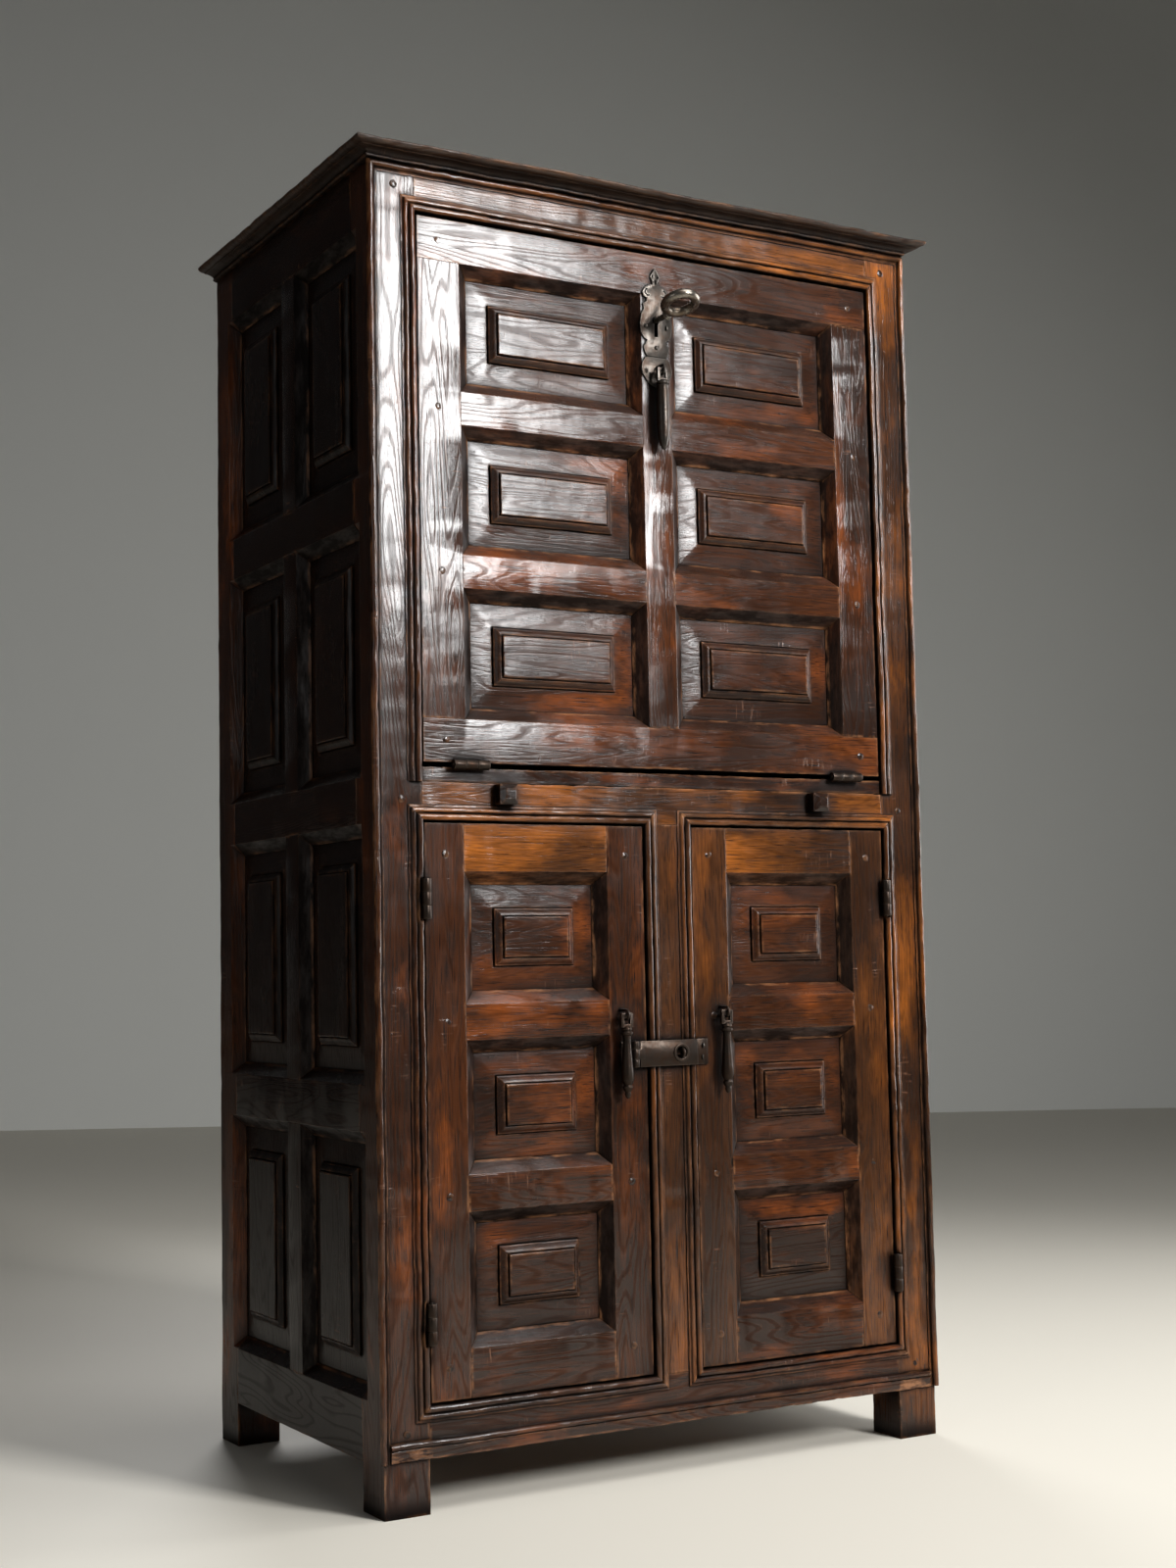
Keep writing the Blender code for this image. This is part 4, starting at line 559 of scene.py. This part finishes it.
# Lower doors: two stiles the full height with four rails between them, chamfered in the same way
# round three fielded panels each.
DOOR_MIDDLE = 183 * MM
DOOR_LOW, DOOR_HIGH = 122.2 * MM, 780.2 * MM
RAIL_ENDS = (86.5 * MM, 279.5 * MM)
door_rows = [255.2 * MM, 451.2 * MM, 647.2 * MM]
door_rails = [(122.2, 193.2), (317.2, 389.2), (513.2, 585.2), (709.2, 780.2)]
door_opening = (81.5 * MM, 62 * MM)
pattern_cutter = opening_cutter(*door_opening)
pattern_panel = fielded_panel("door_panel", *door_opening, 9 * MM, 0.7 * MM, 0.35)
for side, out in (("left", -1), ("right", 1)):
    cutters = []
    for row, w in zip(("lower", "middle", "upper"), door_rows):
        place = (out * DOOR_MIDDLE, FACE, w)
        cutters.append(placed_copy(pattern_cutter, "door_cutter", place))
        panel = placed_copy(pattern_panel, f"fielded_{side}_door_panel_{row}", place)
        finish_wood(panel, f"{side}_door", walnut_level)
        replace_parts(panel, f"{side}_door_panel_{row}")
    rails, stiles, saws = [], [], []
    for i, (low, high) in enumerate(door_rails):
        x0, x1 = sorted(out * end for end in RAIL_ENDS)
        low, high, lowest, highest = low * MM, high * MM, i == 0, i == len(door_rails) - 1
        edges = ([] if lowest else [(low, -1)]) + ([] if highest else [(high, 1)])
        mitres = [(x, z, away, rise) for x, away in ((x0 + CHAMFER, -1), (x1 - CHAMFER, 1))
                  for z, rise in edges]
        size = ((x0, FACE, low - (0 if lowest else SPARE)),
                (x1, LEAF_BACK, high + (0 if highest else SPARE)), mitres)
        rails.append(board(f"{side}_door_rail_{i + 1}_blank", *size))
        saws.append(board("door_rail_room", *size, slack=ROOM))
    for name, edges in (("inner", (35.5 * MM, 101.5 * MM + SPARE)),
                        ("outer", (264.5 * MM - SPARE, 330.5 * MM))):
        x0, x1 = sorted(out * edge for edge in edges)
        stiles.append(board(f"{side}_door_{name}_stile_blank", (x0, FACE, DOOR_LOW),
                            (x1, LEAF_BACK, DOOR_HIGH)))
    for blank in rails:
        material = rubbed_level if "rail_4" in blank.name else walnut_level
        rail = framed(blank, cutters, (12 * MM, 0, 0), f"{side}_door", material)
        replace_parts(rail, f"{side}_door_frame")
    for blank in stiles:
        material = rubbed_upright if side == "right" else walnut_upright
        stile = framed(blank, cutters + saws, (0, 0, 12 * MM), f"{side}_door", material)
        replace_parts(stile, f"{side}_door_frame")
    remove(cutters + rails + stiles + saws)
remove([pattern_cutter, pattern_panel])

# Pegs: split oak pins about 10 mm thick, driven through the tenons and pared off; they stand a
# little proud of the wood that has shrunk round them.
peg_end = walnut("pared_oak_end_grain", "Y", "#120a06", "#301c10", "#4a2c17", 0.52, 0.3)
bpy.ops.mesh.primitive_cylinder_add(vertices=9, radius=5 * MM, depth=3 * MM, rotation=TO_FRONT)
pattern_peg = bpy.context.object
bpy.ops.object.transform_apply(location=True, rotation=True, scale=True)
bpy.ops.object.mode_set(mode="EDIT")
bpy.ops.mesh.select_all(action="SELECT")
bpy.ops.mesh.bevel(offset=0.8 * MM, segments=2, affect="EDGES")
bpy.ops.object.mode_set(mode="OBJECT")
bpy.ops.object.shade_smooth_by_angle(angle=math.radians(30))
pegs = [("carcass", x, z) for x in (-0.36, 0.36) for z in (1.533, 0.806, 0.091)]
pegs += [("flap", x, z) for x in (-0.302, 0.302) for z in (1.476, 1.275, 1.078, 0.877)]
pegs += [(body, side * x, z) for body, side in (("left_door", -1), ("right_door", 1))
         for x in (0.061, 0.305) for z in (0.158, 0.353, 0.549, 0.745)]
for i, (body, x, z) in enumerate(pegs):
    # No peg was bored quite in line
    off = noise.noise_vector(Vector((x, i, z)) * 17.3) * 4 * MM
    place = (x + off.x, FACE + 1.3 * MM + off.y * 0.05, z + off.z)
    peg = placed_copy(pattern_peg, f"peg_{i + 1}", place)
    for vertex in peg.data.vertices:
        vertex.co += noise.noise_vector(vertex.co * 160) * 0.7 * MM
    finish_wood(peg, body, peg_end)
remove([pattern_peg])

# Lopers: walnut bars that slide out under the open fall front, with square heads to pull by.  The
# bars are planed slimmer than their holes, which have worn uneven.
SLIMMER = 0.06
for side in ("left", "right"):
    # The lopers take the darker walnut of the sides, with its painted shade
    loper = worn_copy(f"{side}_loper", (0, 20 * MM, 0), 0.15 * MM, walnut_side_level)
    axis = sum((Vector(c) for c in loper.bound_box), Vector()) / 8
    for vertex in loper.data.vertices:
        if vertex.co.y > FACE + MM:
            vertex.co.x += (axis.x - vertex.co.x) * SLIMMER
            vertex.co.z += (axis.z - vertex.co.z) * SLIMMER


# Ironwork: forged hinges, lock plates, staples and hasp, black from the fire and oiled ever since;
# brown in the hollows, grey where hands and keys rub.
def iron(name, dark, grey, brown, shine):
    """Wrought iron: hammered dents about 6 mm wide, a skin of black and brown scale in blotches of
    14 mm, grit of 1.5 mm, and bright edges."""
    made = bpy.data.materials.new(name)
    made.use_nodes = True
    made.node_tree.nodes.clear()
    node = partial(add_node, made.node_tree)
    here = node("TexCoord", {}, "Object")
    dents = node("TexNoise", {"Vector": here, "Scale": 1000 / 6, "Detail": 2})
    scale = node("TexNoise", {"Vector": here, "Scale": 1000 / 14, "Detail": 6, "Roughness": 0.7})
    grit = node("TexNoise", {"Vector": here, "Scale": 1000 / 1.5, "Detail": 3})
    solid = node("AmbientOcclusion", {"Distance": 1.6 * MM}, "AO", samples=6, inside=True,
                 only_local=True)
    room = node("AmbientOcclusion", {"Distance": 10 * MM}, "AO", samples=6)
    blotch = node("MapRange", {0: scale, 1: 0.45, 2: 0.65})
    rubbed = node("MapRange", {0: solid, 1: 0.45, 2: 0.95, 3: 0.7, 4: 0})
    dirty = node("MapRange", {0: room, 1: 0.3, 2: 0.9, 3: 0.85, 4: 0})
    colour = linear(dark)
    for amount, over in ((blotch, brown), (rubbed, grey), (dirty, "#0c0807")):
        colour = node("Mix", {0: amount, 6: colour, 7: linear(over)}, 2, data_type="RGBA")
    gloss = node("MapRange", {0: scale, 1: 0.3, 2: 0.7, 3: shine, 4: shine + 0.2})
    surface = node("Bevel", {"Radius": 0.6 * MM}, samples=4)
    for bumps, depth in ((dents, 0.6 * MM), (grit, 0.12 * MM)):
        surface = node("Bump", {"Height": bumps, "Normal": surface, "Distance": depth,
                                "Strength": 0.5})
    skin = node("BsdfPrincipled", {"Base Color": colour, "Roughness": gloss, "Normal": surface,
                                   "Metallic": 0.9})
    node("OutputMaterial", {"Surface": skin}, None)
    return made


forged_iron = iron("forged_iron", "#3b3733", "#77726c", "#30241c", 0.26)
# The doors' ironwork and the hinges have gone brown and are less handled
smoked_iron = iron("smoked_iron", "#2b241f", "#5c5047", "#2c1d13", 0.3)


def finish_iron(piece, body, material):
    """Gives a piece of ironwork its finish and the body that it moves with."""
    piece.data.materials.clear()
    piece.data.materials.append(material)
    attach(piece, body)


def forged_copy(node):
    """A piece of ironwork as the smith left it: edges filed round, turned parts smooth."""
    piece = solid_copy(node, "forged_" + node)
    ease_edges(piece, 0.4 * MM, 48)
    bpy.ops.object.shade_smooth_by_angle(angle=math.radians(42))
    handled = "flap_p" in node or "lock" in node
    finish_iron(piece, frame["nodes"][node]["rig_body"], forged_iron if handled else smoked_iron)
    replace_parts(piece, node)


for node, made in list(frame["nodes"].items()):
    if made.data.materials[0].name.split(".")[0] == "iron" and node != "flap_lock_case":
        forged_copy(node)
frame["nodes"]["flap_lock_case"].material_slots[0].material = forged_iron

# Lock plate: the scrolls that are sawn through the plate above the keyhole, the open lozenge on
# its tip, and the forged nails that hold the plates on the fall front and the keeper on the right
# door.
SCROLL_Y, SCROLL_Z = FACE - 1.3 * MM, 1453.5 * MM
for side in (-1, 1):
    bpy.ops.mesh.primitive_torus_add(
        major_segments=20, minor_segments=8, major_radius=4.2 * MM, minor_radius=1.1 * MM,
        location=(side * 11 * MM, SCROLL_Y, SCROLL_Z), rotation=TO_FRONT)
    scroll = bpy.context.object
    bpy.ops.object.transform_apply(location=True, rotation=True, scale=True)
    bpy.ops.object.mode_set(mode="EDIT")
    bpy.ops.mesh.select_all(action="SELECT")
    bpy.ops.mesh.bisect(plane_co=(side * 9.5 * MM, 0, SCROLL_Z), plane_no=(-side, 0, 0.5),
                        use_fill=True, clear_outer=True)
    bpy.ops.mesh.select_all(action="SELECT")
    bpy.ops.transform.resize(value=(1, 4, 1), center_override=(0, SCROLL_Y, 0))
    bpy.ops.mesh.normals_make_consistent(inside=False)
    bpy.ops.object.mode_set(mode="OBJECT")
    cut_out(bpy.data.objects["forged_flap_lock_plate"], scroll)
    remove([scroll])
bpy.ops.mesh.primitive_torus_add(major_segments=4, minor_segments=8, major_radius=7 * MM,
                                 minor_radius=1.2 * MM, rotation=TO_FRONT)
finial = bpy.context.object
finial.name = "lock_plate_finial"
bpy.ops.object.mode_set(mode="EDIT")
bpy.ops.mesh.select_all(action="SELECT")
bpy.ops.transform.resize(value=(0.85, 1.25, 1), center_override=(0, 0, 0), orient_type="LOCAL")
bpy.ops.mesh.subdivide(number_cuts=3, smoothness=0.6)
bpy.ops.object.mode_set(mode="OBJECT")
finial.location = (0, FACE - 1.2 * MM, 1474 * MM)
bpy.ops.object.transform_apply(location=True, rotation=True, scale=True)
bpy.ops.object.shade_smooth_by_angle(angle=math.radians(50))
finish_iron(finial, "flap", forged_iron)
bpy.ops.mesh.primitive_uv_sphere_add(segments=12, ring_count=8, radius=3.2 * MM)
pattern_nail = bpy.context.object
bpy.ops.object.mode_set(mode="EDIT")
bpy.ops.mesh.select_all(action="SELECT")
bpy.ops.transform.resize(value=(1, 0.6, 1))
bpy.ops.mesh.bisect(plane_co=(0, 0.6 * MM, 0), plane_no=(0, 1, 0), use_fill=True, clear_outer=True)
bpy.ops.object.mode_set(mode="OBJECT")
bpy.ops.object.shade_smooth_by_angle(angle=math.radians(60))
nails = [("flap", 0, 1383 * MM), ("flap", -15 * MM, 1410 * MM), ("flap", 15 * MM, 1410 * MM),
         ("flap", 0, 1467 * MM), ("flap", -16 * MM, 1352 * MM), ("flap", 16 * MM, 1352 * MM),
         ("right_door", 44 * MM, 497 * MM), ("right_door", 44 * MM, 511 * MM)]
for i, (body, x, z) in enumerate(nails):
    nail = placed_copy(pattern_nail, f"forged_nail_{i + 1}", (x, FACE - 2.4 * MM, z), i * 0.7)
    finish_iron(nail, body, forged_iron)
remove([pattern_nail])

# Key: forged in one piece, a heavy oval bow on a turned neck and a round shank, and kept bright by
# every hand that has turned it.
polished_iron = iron("hand_polished_iron", "#7a746b", "#a8a39b", "#57493c", 0.18)
KEY_Z = 1418 * MM
bpy.ops.mesh.primitive_torus_add(
    major_segments=48, minor_segments=18, major_radius=19 * MM, minor_radius=6.2 * MM,
    location=(0, FACE - 61 * MM, KEY_Z))
key = bpy.context.object
key.name = "heavy_key"
bpy.ops.object.transform_apply(location=True, rotation=True, scale=True)
bpy.ops.object.mode_set(mode="EDIT")
bpy.ops.mesh.select_all(action="SELECT")
bpy.ops.transform.rotate(value=math.radians(20), orient_axis="X",
                         center_override=(0, FACE - 42 * MM, KEY_Z))
bpy.ops.mesh.primitive_cylinder_add(vertices=24, radius=3.8 * MM, depth=58 * MM,
                                    location=(0, FACE - 14.5 * MM, KEY_Z), rotation=TO_FRONT)
for y, radius in ((-32, 3.4), (-28.5, 4.2)):
    bpy.ops.mesh.primitive_torus_add(
        major_segments=24, minor_segments=10, major_radius=radius * MM, minor_radius=2 * MM,
        location=(0, FACE + y * MM, KEY_Z), rotation=TO_FRONT)
bpy.ops.mesh.primitive_cube_add(size=1, location=(7.5 * MM, FACE + 12 * MM, KEY_Z),
                                scale=(15 * MM, 5 * MM, 4.2 * MM))
bpy.ops.mesh.select_all(action="SELECT")
bpy.ops.mesh.normals_make_consistent(inside=False)
bpy.ops.object.mode_set(mode="OBJECT")
bpy.ops.object.shade_smooth_by_angle(angle=math.radians(40))
finish_iron(key, "key", polished_iron)
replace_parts(key, "key")
frame["nodes"]["lock_bolt"].material_slots[0].material = polished_iron

# Room: a plain pale floor and, far behind, a plain grey wall square to the view.  The wall stands
# well clear, so that the back of the cabinet can be seen too.
bpy.ops.mesh.primitive_plane_add(size=80, location=(0, 0, 0))
floor = bpy.context.object
floor.name = "studio_floor"
VIEW = Vector((0.5, 0.866, 0))
ALONG = Vector((0.866, -0.5, 0))
WALL_AWAY, WALL_ASIDE, WALL_UP = 5.8, 1.6, 5.9
wall_place = VIEW * WALL_AWAY + ALONG * WALL_ASIDE + Vector((0, 0, WALL_UP))
bpy.ops.mesh.primitive_plane_add(size=12, location=wall_place,
                                 rotation=(math.radians(90), 0, math.radians(-30)))
wall = bpy.context.object
wall.name = "studio_wall"
for stage, name, colour, rough in ((floor, "painted_floor", "#d9d4c8", 0.65),
                                   (wall, "painted_wall", "#f0f1ed", 0.9)):
    paint = bpy.data.materials.new(name)
    paint.use_nodes = True
    skin = paint.node_tree.nodes["Principled BSDF"]
    skin.inputs["Base Color"].default_value = linear(colour)
    skin.inputs["Roughness"].default_value = rough
    stage.data.materials.append(paint)

# Light: a tall soft lamp in front on the right, a soft panel under the ceiling, a window far round
# on the right that glints on the reeds, a lamp for the back, and a weak room light that is darkest
# on the left.
for name, size, size_y, watts, spread, place, aim in (
        ("tall_soft_lamp", 0.75, 1.25, 68, 110, (1.12, -3.5, 2.27), (0, -0.2, 0.9)),
        ("ceiling_panel", 1.8, 1.2, 46, 180, (0.5, -1.5, 3.3), (0.2, -0.6, 0)),
        ("right_window", 1.5, 2.2, 36, 110, (3.3, -0.75, 1.35), (0.3, -0.2, 1.1)),
        ("back_lamp", 1.6, 1.6, 13, 70, (1.2, 3.6, 2.2), (0.1, 0.3, 1.2)),
        ("left_fill", 1.2, 1.6, 9, 180, (-3.2, -1.6, 1.5), (0, 0, 0.8))):
    lamp = bpy.data.lights.new(name, "AREA")
    lamp.shape = "RECTANGLE"
    lamp.size = size
    lamp.size_y = size_y
    lamp.energy = watts
    lamp.spread = math.radians(spread)
    holder = bpy.data.objects.new(name, lamp)
    bpy.context.scene.collection.objects.link(holder)
    holder.location = place
    holder.visible_camera = False
    holder.rotation_euler = (Vector(aim) - holder.location).to_track_quat("-Z", "Y").to_euler()
world = bpy.data.worlds.new("room")
world.use_nodes = True
world.node_tree.nodes.clear()
air = partial(add_node, world.node_tree)
across = air("SeparateXYZ", {0: air("TexCoord", {}, "Generated")}, "X")
from_right = air("MapRange", {0: across, 1: -0.4, 2: 0.8, 3: 0.014, 4: 0.13})
glow = air("Background", {"Color": linear("#eceef0"), "Strength": from_right})
air("OutputWorld", {"Surface": glow}, None)
bpy.context.scene.world = world

# Camera: low, in front of the left corner, looking slightly up, as the photograph was taken.
CAMERA_PLACE = (-1.39933, -2.44403, 0.61203)
CAMERA_TURN, CAMERA_TILT, CAMERA_ROLL = -30.0264, 94.8493, -1.128
camera = bpy.data.cameras.new("camera")
camera.sensor_fit = "HORIZONTAL"
camera.sensor_width = 36
camera.lens = 65.432
camera_holder = bpy.data.objects.new("camera", camera)
bpy.context.scene.collection.objects.link(camera_holder)
camera_holder.matrix_world = (Matrix.Translation(CAMERA_PLACE)
                              @ Matrix.Rotation(math.radians(CAMERA_TURN), 4, "Z")
                              @ Matrix.Rotation(math.radians(CAMERA_TILT), 4, "X")
                              @ Matrix.Rotation(math.radians(CAMERA_ROLL), 4, "Z"))
bpy.context.scene.camera = camera_holder
bpy.context.scene.view_settings.view_transform = "Standard"
